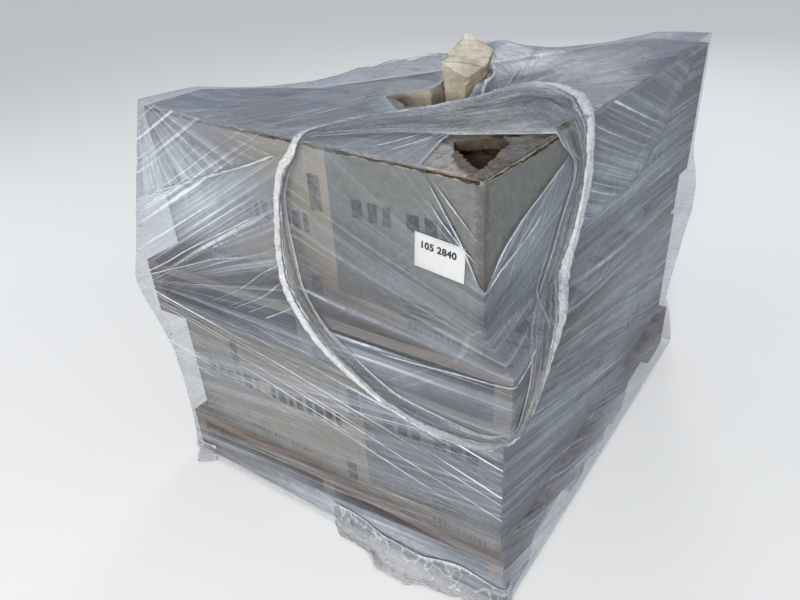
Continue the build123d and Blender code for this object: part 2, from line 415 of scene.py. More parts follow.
class BoardSettings(bpy.types.PropertyGroup):
    """Colours of the crates' corrugated board."""

    bare_colour: bpy.props.FloatVectorProperty(
        name="Board",
        description="Colour of the crates' outer paper",
        default=(0.40, 0.365, 0.31),
        **COLOUR,
    )
    panel_colour: bpy.props.FloatVectorProperty(
        name="Printed panel",
        description="Colour of the panels printed on the crates' corners",
        default=(0.150, 0.158, 0.160),
        **COLOUR,
    )
    ink_colour: bpy.props.FloatVectorProperty(
        name="Ink",
        description="Colour of the plain printed bars",
        default=(0.045, 0.05, 0.06),
        **COLOUR,
    )


class StoneSettings(bpy.types.PropertyGroup):
    """Size of the broken relief and colour of the stones."""

    pale_colour: bpy.props.FloatVectorProperty(
        name="Split face",
        description="Colour of the stones' pale faces",
        default=(0.90, 0.87, 0.78),
        **COLOUR,
    )
    relief: bpy.props.FloatProperty(
        name="Relief",
        description="Depth of the stones' broken faces",
        unit="LENGTH",
        default=0.007,
    )


class FilmSettings(bpy.types.PropertyGroup):
    """Look and relief of the stretch film."""

    veil: bpy.props.FloatProperty(
        name="Veil",
        description="How much the film hides where it lies smooth",
        subtype="FACTOR",
        min=0,
        max=1,
        default=0.13,
    )
    crease: bpy.props.FloatProperty(
        name="Crease depth",
        description="Height of the film's larger creases",
        unit="LENGTH",
        default=0.0035,
    )


class LabelSettings(bpy.types.PropertyGroup):
    """Figures on the paper label."""

    figures: bpy.props.StringProperty(
        name="Figures", description="Plain figures printed on the label", default="105 2840"
    )


# The film's shape: its corners in plan at each height, in millimetres

FRONT_LEFT = [
    (8, -508, -631), (60, -503, -624), (152, -499, -620), (270, -482, -630),
    (395, -476, -638), (500, -498, -650), (570, -514, -660), (618, -523, -661),
    (650, -521, -650), (1028, -513, -530),
]
FRONT_RIGHT = [
    (8, 534, -626), (100, 529, -620), (150, 528, -618), (178, 512, -602),
    (500, 512, -602), (514, 530, -612), (662, 530, -611), (684, 512, -603),
    (716, 455, -588), (1028, 453, -587),
]
BACK_RIGHT = [
    (8, 552, 628), (60, 548, 624), (152, 530, 613), (200, 520, 588), (270, 526, 585),
    (434, 540, 594), (521, 549, 612), (593, 546, 620), (655, 536, 618), (700, 526, 596),
    (760, 524, 589), (1028, 523, 587),
]
BACK_LEFT_ON_BACK = [
    (8, -504, 622), (140, -498, 612), (180, -456, 577), (490, -456, 577),
    (512, -526, 593), (600, -490, 616), (664, -441, 646), (1028, -439, 646),
]
BACK_LEFT_ON_SIDE = [
    (8, -506, 620), (140, -499, 611), (180, -456, 577), (490, -456, 577),
    (512, -529, 592), (664, -529, 592), (700, -500, 612), (754, -444, 642),
    (1028, -442, 642),
]
MOUTH_MIDDLE = (0.16, -0.20)
# Edges of the film on top, in the crate's own plan: the mouth round the standing stone, and
# the bare near corner
MOUTH_OPENING = [
    (0.034, -0.285), (0.053, -0.258), (0.068, -0.234), (0.072, -0.21), (0.078, -0.137),
    (0.072, -0.06), (0.100, -0.018), (0.148, -0.030), (0.173, -0.052), (0.189, -0.092),
    (0.181, -0.128), (0.188, -0.172), (0.205, -0.215), (0.190, -0.302), (0.130, -0.362),
]
CORNER_OPENING = [
    (0.390, -0.660), (0.350, -0.583), (0.331, -0.529), (0.310, -0.465), (0.310, -0.425),
    (0.388, -0.374), (0.440, -0.346), (0.456, -0.300), (0.464, -0.245), (0.470, -0.205),
    (0.520, -0.200), (0.560, -0.660),
]
# The same edge on the two faces: distance from the near corner (right is more), height
SIDE_OPENING = [
    (-0.135, 1.08), (-0.126, 1.015), (-0.087, 0.959), (-0.046, 0.902), (-0.008, 0.826),
    (0.003, 0.815), (0.05, 0.868), (0.13, 0.908), (0.233, 0.941), (0.335, 0.975),
    (0.37, 1.0), (0.39, 1.08),
]
SIDE_COLUMNS = (104, 124, 104, 124)
CORNER_COLUMNS = 11
SIDE_ROWS, TOP_ROWS = 112, 54
HEM, RIM = 0.008, 1.028
# How far along the film's faces a rounded corner begins
CORNER_REACH = 0.016
# Points this far past an opening's edge are cut out of the film's mesh
CUT_PAST = 0.008
# The film on top rests on the crate this far in from its sides and ends, and hangs free inside
# that over whatever stands higher than UNDER_ALL. Its level is found in so many rounds
SIDE_REST, END_REST, UNDER_ALL = 0.06, 0.20, 0.9
SETTLING_ROUNDS = 900


def corner_places(table, heights):
    """One corner's plan places at many heights, in metres."""
    table = np.array(table, float) / 1000
    return resampled(heights, table[:, 0], table[:, 1:])


def film_rings(heights):
    """Plan places of the film's columns at each height, corners rounded."""
    same = (FRONT_LEFT, FRONT_RIGHT, BACK_RIGHT)
    first = [corner_places(table, heights) for table in (*same, BACK_LEFT_ON_BACK)]
    second = [corner_places(table, heights) for table in (*same, BACK_LEFT_ON_SIDE)]
    columns = []
    for k in range(4):
        after = first[(k + 1) % 4]
        back = second[k - 1] - first[k]
        ahead = after - second[k]
        ahead_size = np.linalg.norm(ahead, axis=1)[:, None]
        start = first[k] + CORNER_REACH * back / np.linalg.norm(back, axis=1)[:, None]
        end = second[k] + CORNER_REACH * ahead / ahead_size
        step = np.linalg.norm(second[k] - first[k], axis=1)[:, None]
        share = np.linspace(0, 1, CORNER_COLUMNS)[None, :] * (2 * CORNER_REACH + step)
        arc = start[:, None]
        for along, leg in (
            (share / CORNER_REACH, first[k] - start),
            ((share - CORNER_REACH) / np.maximum(step, 1e-9), second[k] - first[k]),
            ((share - CORNER_REACH - step) / CORNER_REACH, end - second[k]),
        ):
            arc = arc + np.clip(along, 0, 1)[..., None] * leg[:, None]
        stop = after - CORNER_REACH * ahead / ahead_size
        t = np.linspace(0, 1, SIDE_COLUMNS[k] + 2)[1:-1][None, :, None]
        columns += [arc, end[:, None] * (1 - t) + stop[:, None] * t]
    return evened(np.concatenate(columns, axis=1), 5, ring=1)


def near_corner_column():
    """The film's column at the load's near corner."""
    return CORNER_COLUMNS + SIDE_COLUMNS[0] + CORNER_COLUMNS // 2


class FilmShape:
    """The film's jacket as a grid of points, with what its finish needs at each."""

    def __init__(self, crease):
        rows = np.linspace(0, 1, SIDE_ROWS) ** 0.94
        heights = HEM + rows * (RIM - HEM)
        ring = film_rings(heights)
        top_x, top_y = to_tier("upper_crate", ring[-1, :, 0], ring[-1, :, 1])
        rim = RIM - sunk_drop(top_x, top_y)
        for corner, lift, reach in ((-1, 0.013, 0.16), (1, 0.021, 0.22)):
            away = np.hypot(top_x - corner * CRATE_WIDTH / 2, top_y - corner * CRATE_DEPTH / 2)
            rim = rim + lift * np.exp(-((away / reach) ** 2))
        high = np.clip((heights - 0.72) / (RIM - 0.72), 0, 1)
        z = heights[:, None] + high[:, None] * (rim - RIM)[None, :]
        points = evened(np.concatenate([ring, z[..., None]], axis=2), 2)
        steps = np.linalg.norm(np.roll(ring[60], -1, 0) - ring[60], axis=1)
        around = np.concatenate([[0], np.cumsum(steps)[:-1]])
        self.around = around - around[near_corner_column()]
        self.side = np.repeat(self.around[None, :], SIDE_ROWS, 0)
        self.height = points[..., 2].copy()
        self.points = points
        self.crease_side(crease)
        self.top(crease)

    def crease_side(self, crease):
        """Streak-wise and listed creases push the film out from its faces."""
        s, z = self.side, self.height
        across = self.streaks(s, z)[0][..., 1]
        out = crease * 0.55 * np.maximum(0, soft_noise(s * 1.6, across * 30, 3, 3))
        out += crease * 0.35 * np.maximum(0, soft_noise(s * 3, across * 75, 5, 2))
        crumple = np.exp(-(((s + 0.86) / 0.26) ** 2) - (((z - 0.86) / 0.13) ** 2))
        crumple += 0.5 * np.exp(-(((s + 0.2) / 0.4) ** 2) - (((z - 0.09) / 0.06) ** 2))
        out += crumple * 0.004 * (soft_noise(s * 22, z * 22, 8, 3) + 0.6)
        folds = 0 * s
        for start, end, wide, tall in SIDE_CREASES:
            away, along = line_distance(s, z, start, end)
            fade = np.clip(1.15 - np.clip(along, 0, 1), 0, 1)
            folds = np.maximum(folds, tall * fade * np.exp(-((away / wide) ** 2)))
        out += folds
        normal = self.normals(self.points)
        fixed = np.clip((RIM - z) / 0.02, 0, 1)
        self.points = self.points + normal * (out * fixed)[..., None]

    def straight(self, away, z, lean):
        """The height at which each place's straight streak crosses the line it fans out from."""
        low, high = np.full(z.shape, -1.5), np.full(z.shape, 2.5)
        for _ in range(30):
            middle = 0.5 * (low + high)
            above = middle + lean(middle) * away > z
            low, high = np.where(above, low, middle), np.where(above, middle, high)
        return middle

    def streaks(self, s, z):
        """Two sets of streaks on the faces, each as distance along and across them."""

        def step(value, start, stop):
            t = np.clip((value - start) / (stop - start), 0, 1)
            return t * t * (3 - 2 * t)

        near = np.abs(s)
        loop = [row[0] for row in LOOP_FACES] + [(-0.42, 1.2), (0.36, 1.2)]
        inside = signed_distance(s, z, loop) > 0
        front = s < 0
        fan_front = self.straight(
            near, z, lambda h: 0.02 + 0.33 * step(h, 0.62, 0.74) + 0.75 * step(h, 0.78, 0.89)
        )
        fan_right = self.straight(near, z, lambda h: 0.07 + 0.75 * step(h, 0.70, 0.86))
        reach = np.hypot(s - EAR[0], z - EAR[1])
        turn = np.arctan2(z - EAR[1], np.maximum(s - EAR[0], 1e-4)) * 0.40
        low = z - EAR[1] + np.where(z < 0.47, -0.10, 0.05) * (s - EAR[0])
        ear = np.where(z > EAR[1], turn, low)
        rise = z - 0.618 - 0.50 * (s + 1.02)
        ear = np.where(rise > 0, (z - 0.58 * s) / 1.16, ear)
        corner_turn = np.arctan2(1.06 - z, np.maximum(s + 1.06, 1e-4)) * 0.40
        topmost = z > 0.848 + 0.333 * (s + 0.956)
        ear = np.where(topmost, corner_turn, ear)
        far = near - 0.40
        fold = np.interp(near, *zip(*FAR_FOLD))
        beyond = self.straight(far, z, lambda h: -0.34 + 0.32 * step(h, 0.45, 0.78))
        beyond = np.where(z > fold, z + 0.42 * far, beyond)
        fanned = np.where(front, fan_front, fan_right)
        across = np.where(inside, fanned, np.where(front, ear, beyond))
        along = np.where(inside | ~front | (z <= EAR[1]) | (rise > 0), s, reach)
        lean_front = np.where(inside, 0.62, np.where(z > 0.62, 0.55, -0.26))
        lean = np.where(front, lean_front, np.where(inside, 1.5, 0.14))
        size = np.sqrt(1 + lean**2)
        second = ((s + lean * z) / size, (z - lean * s) / size)
        flat = 0 * s
        outside = front & ~inside
        belt = np.exp(-(((z - 0.36 - 0.15 * near) / 0.13) ** 2))
        self.pull = np.where(outside & (z < 0.62), belt, 0.0)
        self.pull += np.where(outside & (z > 0.62), 0.5, 0.0)
        self.pull += np.where(inside & ~front, 0.6, 0.0)
        return np.stack([along, across, flat], axis=-1), np.stack([*second, flat], axis=-1)

    def normals(self, points):
        """The way that each place of the jacket faces."""
        along = np.roll(points, -1, 1) - np.roll(points, 1, 1)
        up = np.gradient(points, axis=0)
        normal = np.cross(along, up)
        return normal / np.maximum(np.linalg.norm(normal, axis=2), 1e-9)[..., None]

    def at(self, s, z):
        """Points and outward directions on the faces at given places."""
        column = np.interp(s, self.around, np.arange(len(self.around)))
        column = np.clip(column, 0, len(self.around) - 1.001)
        c = column.astype(int)
        fc = (column - c)[:, None]
        normal = self.normals(self.points[:SIDE_ROWS])
        place, facing = [], []
        for i in range(len(s)):
            strip = self.points[:SIDE_ROWS, c[i] : c[i] + 2]
            strip = strip[:, 0] * (1 - fc[i]) + strip[:, 1] * fc[i]
            row = np.interp(z[i], strip[:, 2], np.arange(SIDE_ROWS))
            r = int(min(row, SIDE_ROWS - 1.001))
            f = row - r
            place.append(strip[r] * (1 - f) + strip[r + 1] * f)
            facing.append(normal[r, c[i]])
        return np.array(place), np.array(facing)

    def top(self, crease):
        """The film over the load: stretched from the rim to the mouth over what lies there."""
        rim_points = self.points[-1]
        middle = np.array(in_tier("upper_crate", *MOUTH_MIDDLE)).T
        share = np.linspace(0, 1, TOP_ROWS + 1)[1:]
        share = 0.006 + (1 - 0.006) * share ** 1.12
        spokes = rim_points[None, :, :2] * (1 - share)[:, None, None]
        spokes = spokes + middle * share[:, None, None]
        direction = unit(rim_points[:, :2] - middle)
        spokes[-1] = middle + 0.03 * direction
        x, y = to_tier("upper_crate", spokes[..., 0], spokes[..., 1])
        roof = LOAD_TOP + 0.003 - sunk_drop(x, y)
        off_sides = np.abs(x) < CRATE_WIDTH / 2 - SIDE_REST
        off_ends = np.abs(y) < CRATE_DEPTH / 2 - END_REST
        floor = np.where(off_sides & off_ends, UNDER_ALL, roof)
        for bx, by, wide, top in PROPPED:
            away = np.hypot(x - bx, y - by)
            floor = np.maximum(floor, top - 0.35 * np.maximum(away - wide, 0))
        rim = rim_points[:, 2]
        z = np.repeat(rim[None, :], len(share), 0)
        for _ in range(SETTLING_ROUNDS):
            up = np.concatenate([rim[None], z[:-1]])
            down = np.concatenate([z[1:], z[-1:]])
            z = np.maximum(0.3 * (np.roll(z, 1, 1) + np.roll(z, -1, 1)) + 0.2 * (up + down), floor)
        turn = np.arctan2(y - FAN_MIDDLE[1], x - FAN_MIDDLE[0])
        away = np.hypot(x - FAN_MIDDLE[0], y - FAN_MIDDLE[1])
        fade = np.clip(away / 0.25, 0, 1) * np.clip(share / 0.03, 0, 1)[:, None]
        z = z + crease * fade * (
            0.9 * np.maximum(0, soft_noise(turn * 9, away * 1.4, 21, 2))
            + 0.5 * np.maximum(0, soft_noise(turn * 24, away * 2.0, 22, 2))
        )
        self.top_open = np.maximum(
            signed_distance(x, y, MOUTH_OPENING), signed_distance(x, y, CORNER_OPENING)
        )
        z += 0.003 * np.exp(-((self.top_open / 0.010) ** 2))
        self.top_points = np.concatenate([spokes, z[..., None]], axis=2)
        self.top_plan = (x, y)
        knot_turn = np.arctan2(y - KNOT[1], KNOT[0] - x)
        knot_away = np.hypot(x - KNOT[0], y - KNOT[1])
        left = 1 / (1 + np.exp((x - 0.5 * (y + 0.2) - 0.02) / 0.05))
        fan = np.stack([away, turn * 0.42], axis=-1) * (1 - left)[..., None]
        fan += np.stack([knot_away, knot_turn * 0.42], axis=-1) * left[..., None]
        self.top_fan = np.concatenate([fan, np.zeros(fan.shape[:2] + (1,))], axis=-1)
        self.top_cross = np.stack([0.3 * x + 0.95 * y, 0.95 * x - 0.3 * y, 0 * x], axis=-1)

    def top_height(self, x, y):
        """Height of the film on top at places in the crate's own plan."""
        px, py = (plan.ravel() for plan in self.top_plan)
        nearest = [np.argmin((px - a) ** 2 + (py - b) ** 2) for a, b in zip(x, y)]
        return self.top_points[..., 2].ravel()[nearest]

    def grid(self):
        """All points, faces and the numbers kept at the points."""
        points = np.concatenate([self.points, self.top_points])
        rows, columns = points.shape[:2]
        s, z = self.side, self.height
        first, second = self.streaks(s, z)
        x, y = self.top_plan
        side_open = signed_distance(s, np.minimum(z, 1.06), SIDE_OPENING)
        opening = np.concatenate([side_open, self.top_open])
        off_label = np.maximum(signed_distance(s, z, LABEL_PLACE) * -1, 0)
        faces = grid_faces(rows, columns, closed_columns=True)
        faces = faces[opening.reshape(-1)[faces].min(1) < CUT_PAST]
        used, faces = trimmed(faces)
        numbers = {
            "opening": opening,
            "clear": np.concatenate([np.exp(-((off_label / 0.006) ** 2)), 0 * x]),
            "pull": np.concatenate([self.pull, 0.3 + 0 * x]),
            "veil": np.concatenate([self.side_veil(s, z), self.top_veil(x, y)]),
            "bunched": np.concatenate([self.side_bunched(s, z), self.top_bunched()]),
        }
        vectors = {
            "streaks": np.concatenate([first, self.top_fan]),
            "second_streaks": np.concatenate([second, self.top_cross]),
        }
        attributes = [
            (key, "FLOAT_VECTOR", values.reshape(-1, 3)[used]) for key, values in vectors.items()
        ]
        attributes += [(key, "FLOAT", values.reshape(-1)[used]) for key, values in numbers.items()]
        return points.reshape(-1, 3)[used], faces, attributes

    def side_veil(self, s, z):
        """Where the layers lie thicker or thinner on the faces, from -1 to 1."""
        veil = 0 * s
        for (cs, cz), (ws, wz), level in SIDE_VEILS:
            veil += level * np.exp(-(((s - cs) / ws) ** 2) - (((z - cz) / wz) ** 2))
        return veil + 0.18 * soft_noise(s * 3, z * 6, 31, 2)

    def top_veil(self, x, y):
        """Where the layers lie thicker or thinner on top."""
        # The thicker film on the right also turns the painted sky reflection there a darker blue
        right = 1 / (1 + np.exp(-(x - 0.08 + 0.4 * y) / 0.05))
        veil = 0.85 + 0.50 * right + 0.25 * soft_noise(x * 5, y * 5, 32, 2)
        over_liner = np.exp(-(((y + 0.54) / 0.05) ** 2)) * (x > -0.1)
        thin = np.exp(-(((x + 0.05) / 0.10) ** 2) - ((y / 0.12) ** 2))
        return veil - 0.35 * over_liner - 0.5 * thin

    def side_bunched(self, s, z):
        """Where the film is gathered on the faces: along the creases and at the hem."""
        bunched = 0 * s
        for start, end, wide, tall in SIDE_CREASES:
            away, _ = line_distance(s, z, start, end)
            bunched = np.maximum(bunched, 22 * tall * np.exp(-((away / wide) ** 2)))
        hem = np.exp(-(((z - HEM) / 0.012) ** 2))
        return np.clip(bunched + 0.7 * hem, 0, 1)

    def top_bunched(self):
        """Where the film is gathered on top: round its openings."""
        return 0.5 * np.exp(-((self.top_open / 0.010) ** 2))


# Creases on the faces: start and end (distance from the near corner, height),
# half width and height
SIDE_CREASES = [
    ((-1.02, 0.618), (-0.55, 0.745), 0.012, 0.005),
    ((-1.02, 0.618), (-0.50, 0.640), 0.014, 0.003),
    ((-1.02, 0.618), (-0.66, 0.52), 0.014, 0.004),
    ((-0.45, 0.94), (-0.18, 0.80), 0.014, 0.003),
    ((-0.25, 0.49), (0.0, 0.500), 0.014, 0.004),
    ((0.0, 0.500), (0.10, 0.53), 0.012, 0.004),
    ((1.08, 1.035), (0.84, 0.910), 0.016, 0.006),
    ((0.84, 0.910), (0.70, 0.812), 0.016, 0.006),
    ((0.70, 0.812), (0.42, 0.790), 0.014, 0.003),
    ((1.2, 0.60), (0.5, 0.50), 0.016, 0.004),
    ((1.2, 0.52), (0.45, 0.30), 0.016, 0.004),
]
# Thicker and thinner patches of film on the faces: middle, reach and level
SIDE_VEILS = [
    ((-0.88, 0.89), (0.24, 0.13), 1.5),
    ((-0.64, 0.80), (0.20, 0.10), 0.35),
    ((-0.30, 0.79), (0.22, 0.05), 0.10),
    ((-0.22, 0.97), (0.24, 0.07), -0.75),
    ((-0.13, 0.70), (0.10, 0.03), 0.35),
    ((-0.22, 0.58), (0.30, 0.055), 0.55),
    ((-0.25, 0.47), (0.30, 0.03), 0.60),
    ((-0.30, 0.30), (0.35, 0.10), 0.15),
    ((-0.80, 0.42), (0.25, 0.10), 0.45),
    ((-0.35, 0.05), (0.25, 0.05), 0.5),
    ((0.17, 0.84), (0.12, 0.09), 0.7),
    ((-0.50, 0.06), (0.70, 0.055), 1.1),
    ((0.60, 0.07), (0.70, 0.06), 0.6),
    ((-0.55, 0.59), (0.25, 0.045), 0.5),
    ((0.65, 0.82), (0.40, 0.25), 0.80),
    ((0.62, 0.34), (0.50, 0.24), 0.55),
    ((1.0, 0.55), (0.25, 0.20), 0.3),
    ((0.15, 0.35), (0.20, 0.12), 0.3),
    ((0.5, 0.06), (0.6, 0.06), 0.4),
]
# What holds the film up on top, in the crate's own plan: place, reach and height
PROPPED = [
    (-0.18, -0.10, 0.03, 1.036), (-0.13, -0.03, 0.03, 1.044), (-0.06, 0.05, 0.03, 1.050),
    (0.03, 0.07, 0.03, 1.054), (0.09, 0.125, 0.02, 1.082), (0.22, 0.06, 0.05, 1.046),
    (0.0, -0.235, 0.04, 1.034),
]
FAN_MIDDLE = (0.26, -0.11)
KNOT = (0.03, -0.60)
EAR = (-1.02, 0.618)
# The fold on the right face: distance from the near corner and height
FAR_FOLD = [(0.0, 0.78), (0.47, 0.78), (0.75, 0.785), (0.90, 0.86), (1.0, 0.93), (1.2, 1.1)]
# Where the paper label lies close under the film
LABEL_PLACE = [(-0.150, 0.900), (-0.040, 0.886), (-0.040, 0.822), (-0.150, 0.836)]


# Finishes

def film_finish():
    """Layers of film: a cool veil, two sets of pale streaks, painted glints, sky reflection and
    sunlight.
    """
    f = Finish("stretch_film", IOR=1.5, Specular_IOR_Level=0.45)
    place = f.place()
    wander = f.add("CombineXYZ", {"Y": f.sway(f.noise(place, 3.0, 2.0), 0.010)})

    def streaks(key, shift, widths):
        bent = f.add("VectorMath", {0: f.given(key, "Vector"), 1: wander}, operation="ADD")
        return [
            f.noise(f.mapped(bent, (*scale, 1), shift=(shift, 0, 0)), 1.0, detail, roughness)
            for scale, detail, roughness in widths
        ]

    widths = (((0.8, 26), 3.0, 0.65), ((1.2, 120), 2.0, 0.6), ((2.5, 330), 2.0, 0.6))
    wide, fine, hair = streaks("streaks", 0.0, widths)
    fine_2, hair_2 = streaks("second_streaks", 7.0, widths[1:])
    patches = f.noise(place, 7.0, 4.0, 0.6)
    pull = f.given("pull")
    regions = f.spread(f.noise(place, 3.2, 2.0), 0.40, 0.58, 0.25, 1.0)
    regions = f.product(regions, f.total(0.45, (pull, 1.3)))
    crumple = f.noise(place, 42.0, 4.0, 0.65, 0.8)
    fine_mask = f.spread(fine, 0.52, 0.70)
    hair_mask = f.spread(hair, 0.54, 0.72)
    wide_mask = f.spread(wide, 0.42, 0.66)
    second = f.product(f.spread(fine_2, 0.55, 0.72), regions)
    second_hair = f.product(f.spread(hair_2, 0.56, 0.74), regions)
    # Glints: painted highlights along the brightest streaks
    glint = f.product(f.spread(fine, 0.66, 0.74), f.spread(patches, 0.42, 0.62))
    glint_2 = f.product(f.spread(fine_2, 0.59, 0.68), f.spread(pull, 0.15, 0.8))
    bunched, veil, facing = f.given("bunched"), f.given("veil"), f.facing()
    upward = f.spread(f.part(facing, "Z"), 0.3, 0.8)
    most = f.math("SUBTRACT", 1.3, upward)
    thick = f.math("MINIMUM", f.math("MAXIMUM", veil, 0.0), most)
    # How much the film hides: nothing inside its openings, and little over the label
    hide = f.total(
        bpy.context.scene.film_settings.veil,
        (veil, 0.34), (wide_mask, 0.13), (fine_mask, 0.18), (hair_mask, 0.15), (second, 0.20),
        (second_hair, 0.14), (glint, 0.38), (glint_2, 0.48),
        (f.spread(patches, 0.45, 0.70), 0.10), (bunched, 0.42),
    )
    edge = f.math("ADD", f.given("opening"), f.sway(patches, 0.010))
    lip = f.spread(f.math("ABSOLUTE", f.math("ADD", edge, 0.0015)), 0.0, 0.003, 0.30, 0.0)
    hide = f.math("MINIMUM", f.math("ADD", f.math("MAXIMUM", hide, 0.05), lip), 0.93)
    off_label = f.math("SUBTRACT", 1.0, f.product(f.given("clear"), 0.93))
    hide = f.product(hide, f.math("LESS_THAN", edge, 0.0), off_label)
    # How pale the film looks: its whiter streaks, thick layers and gathers, with the painted glints
    pale = f.total(
        f.product(hair_mask, 0.28),
        (fine_mask, 0.36), (second, 0.42), (glint, 0.7), (glint_2, 0.7), (bunched, 0.5),
        (thick, 0.34),
    )
    # The crumple noise breaks the paleness into painted light and shade, and it is dimmed where the
    # film faces up thick, under the painted sky reflection
    pale = f.math("MULTIPLY", pale, f.spread(crumple, 0.30, 0.62, 0.55, 1.1), clamp=True)
    pale = f.product(pale, f.spread(f.product(upward, veil), 0.9, 1.2, 1.0, 0.5))
    # Painted sky reflection: blue where the film faces up, a darker blue where it lies thick.
    # Painted warm sunlight: tan on the front, strongest low down
    cool = f.ramp(
        wide, (0.36, (0.10, 0.14, 0.22)), (0.52, (0.25, 0.32, 0.45)), (0.68, (0.46, 0.54, 0.66))
    )
    painted_sky_reflection = f.mix(f.spread(veil, 1.0, 1.25), (0.45, 0.52, 0.66), (0.105, 0.145, 0.245))
    cool = f.mix(f.product(upward, 0.8), cool, painted_sky_reflection)
    painted_sunlight_front = f.product(
        f.spread(f.part(facing, "Y"), -0.5, -0.85, 0.0, 1.0),
        f.spread(f.part(place, "Z"), 0.10, 0.28, 0.85, 0.30),
        f.spread(thick, 0.0, 0.9, 1.0, 0.30),
    )
    # The tan of the painted warm sunlight on the front
    tan = f.ramp(
        wide, (0.36, (0.20, 0.19, 0.175)), (0.52, (0.36, 0.355, 0.34)), (0.68, (0.52, 0.52, 0.50))
    )
    colour = f.mix(pale, f.mix(painted_sunlight_front, cool, tan), (0.84, 0.90, 0.98))
    height = f.total(
        f.product(wide, 0.7), (fine, 0.5), (hair, 0.2), (fine_2, 0.3), (crumple, 0.2)
    )
    return f.done(
        Base_Color=colour,
        Alpha=hide,
        Roughness=f.spread(patches, 0.3, 0.7, 0.18, 0.34),
        Normal=f.bump(height, 0.005, 0.7),
    )


def gathered_finish(name, pale=(0.93, 0.96, 1.0)):
    """Film gathered into strands: crinkled white with painted glints along its length, clearer
    where it is thin.
    """
    f = Finish(name, IOR=1.5, Specular_IOR_Level=0.8)
    place, streaks = f.place(), f.given("streaks", "Vector")
    wander = f.add("CombineXYZ", {"Y": f.sway(f.noise(place, 9.0, 2.0), 0.002)})
    bent = f.add("VectorMath", {0: streaks, 1: wander}, operation="ADD")
    strand = f.noise(f.mapped(bent, (7.0, 130, 1)), 1.0, 3.0, 0.6)
    band = f.noise(f.mapped(bent, (2.5, 42, 1)), 1.0, 3.0, 0.6)
    broad = f.noise(f.mapped(bent, (1.6, 20, 1), shift=(3, 0, 0)), 1.0, 2.0, 0.55)
    crinkle = f.noise(place, 120.0, 4.0, 0.7, 1.0)
    bunched = f.given("bunched")
    strand_mask = f.spread(strand, 0.44, 0.60)
    band_mask = f.spread(band, 0.42, 0.60)
    broad_mask = f.spread(broad, 0.46, 0.60)
    hide = f.total(
        f.given("veil"), (bunched, 0.66), (strand_mask, 0.16), (band_mask, 0.20), (broad_mask, 0.20)
    )
    # The white is the gathered film's own whiteness with painted glints; the crinkle noise breaks
    # it into painted light and shade
    light = f.total(f.product(bunched, 0.85), (strand_mask, 0.32), (band_mask, 0.25))
    light = f.math("MULTIPLY", light, f.spread(crinkle, 0.34, 0.54, 0.55, 1.1), clamp=True)
    deep = f.mix(broad_mask, (0.12, 0.155, 0.235), (0.23, 0.215, 0.20))
    return f.done(
        Base_Color=f.mix(light, deep, pale),
        Alpha=f.math("MINIMUM", hide, 0.96),
        Roughness=f.spread(crinkle, 0.3, 0.7, 0.16, 0.34),
        Normal=f.bump(f.total(strand, (crinkle, 0.9)), 0.010, 0.8),
    )


def board_finish(name, tier, base, weather):
    """Corrugated board: mottled liner, faint flutes, a printed panel, damp and scuffs."""
    settings = bpy.context.scene.board_settings
    middle_x, middle_y, turn = TIERS[tier]
    f = Finish(name, Roughness=0.85, Specular_IOR_Level=0.25)
    own = f.add(
        "Mapping",
        {
            "Vector": f.place(),
            "Location": (middle_x, middle_y, base),
            "Rotation": (0, 0, math.radians(turn)),
        },
        vector_type="TEXTURE",
    )
    x, y, z = f.part(own, "X").node.outputs
    fibre = f.noise(own, 420.0, 3.0, 0.7)
    mottle = f.noise(own, 60.0, 5.0, 0.7)
    stain = f.noise(own, 5.5, 5.0, 0.62, 0.4)
    drift = f.noise(own, 2.2, 2.0)
    bare = settings.bare_colour
    colour = f.mix(f.spread(stain, 0.38, 0.70), bare, tinted(bare, 0.80))
    colour = f.mix(f.spread(mottle, 0.45, 0.72, 0.0, 0.55), colour, tinted(bare, 0.62))
    colour = f.mix(f.spread(fibre, 0.55, 0.75, 0.0, 0.35), colour, tinted(bare, 1.25))
    # The printed panel takes the last third of the front, next to the near corner
    wavy = f.math("ADD", x, f.sway(mottle, 0.006))
    on_panel = f.math("GREATER_THAN", wavy, CRATE_WIDTH / 2 - 0.362)
    front = f.math("LESS_THAN", y, -CRATE_DEPTH / 2 + 0.012)
    right = f.math("GREATER_THAN", x, CRATE_WIDTH / 2 - 0.012)
    band = f.product(f.math("GREATER_THAN", z, 0.035), f.math("LESS_THAN", z, 0.352))
    panel = f.math("MAXIMUM", f.product(on_panel, front), right)
    panel = f.product(panel, band, f.spread(drift, 0.2, 0.6, 0.75, 0.95))
    grey = settings.panel_colour
    colour = f.mix(panel, colour, f.mix(f.spread(mottle, 0.35, 0.65), grey, tinted(grey, 1.45)))
    # Damp and dirt creep up from the base, and the corners are rubbed
    low = f.spread(f.total(z, (stain, -0.10)), -0.05, 0.03, 0.75, 0.0)
    colour = f.mix(low, colour, (0.13, 0.11, 0.09))
    edge_x = f.math("SUBTRACT", CRATE_WIDTH / 2, f.math("ABSOLUTE", x))
    edge_y = f.math("SUBTRACT", CRATE_DEPTH / 2, f.math("ABSOLUTE", y))
    rub = f.math("ADD", f.math("MAXIMUM", edge_x, edge_y), f.sway(mottle, 0.05))
    colour = f.mix(f.spread(rub, 0.004, 0.022, weather, 0.0), colour, (0.085, 0.075, 0.06))
    flutes = f.add(
        "TexWave",
        {"Vector": own, "Scale": 22.0, "Distortion": 0.4, "Detail": 1.0},
        wave_type="BANDS",
        bands_direction="DIAGONAL",
    )
    height = f.total(f.product(flutes, 0.12), (mottle, 0.5), (fibre, 0.18))
    return f.done(
        Base_Color=colour,
        Roughness=f.spread(mottle, 0.3, 0.7, 0.74, 0.95),
        Normal=f.bump(height, 0.0022, 0.6),
    )


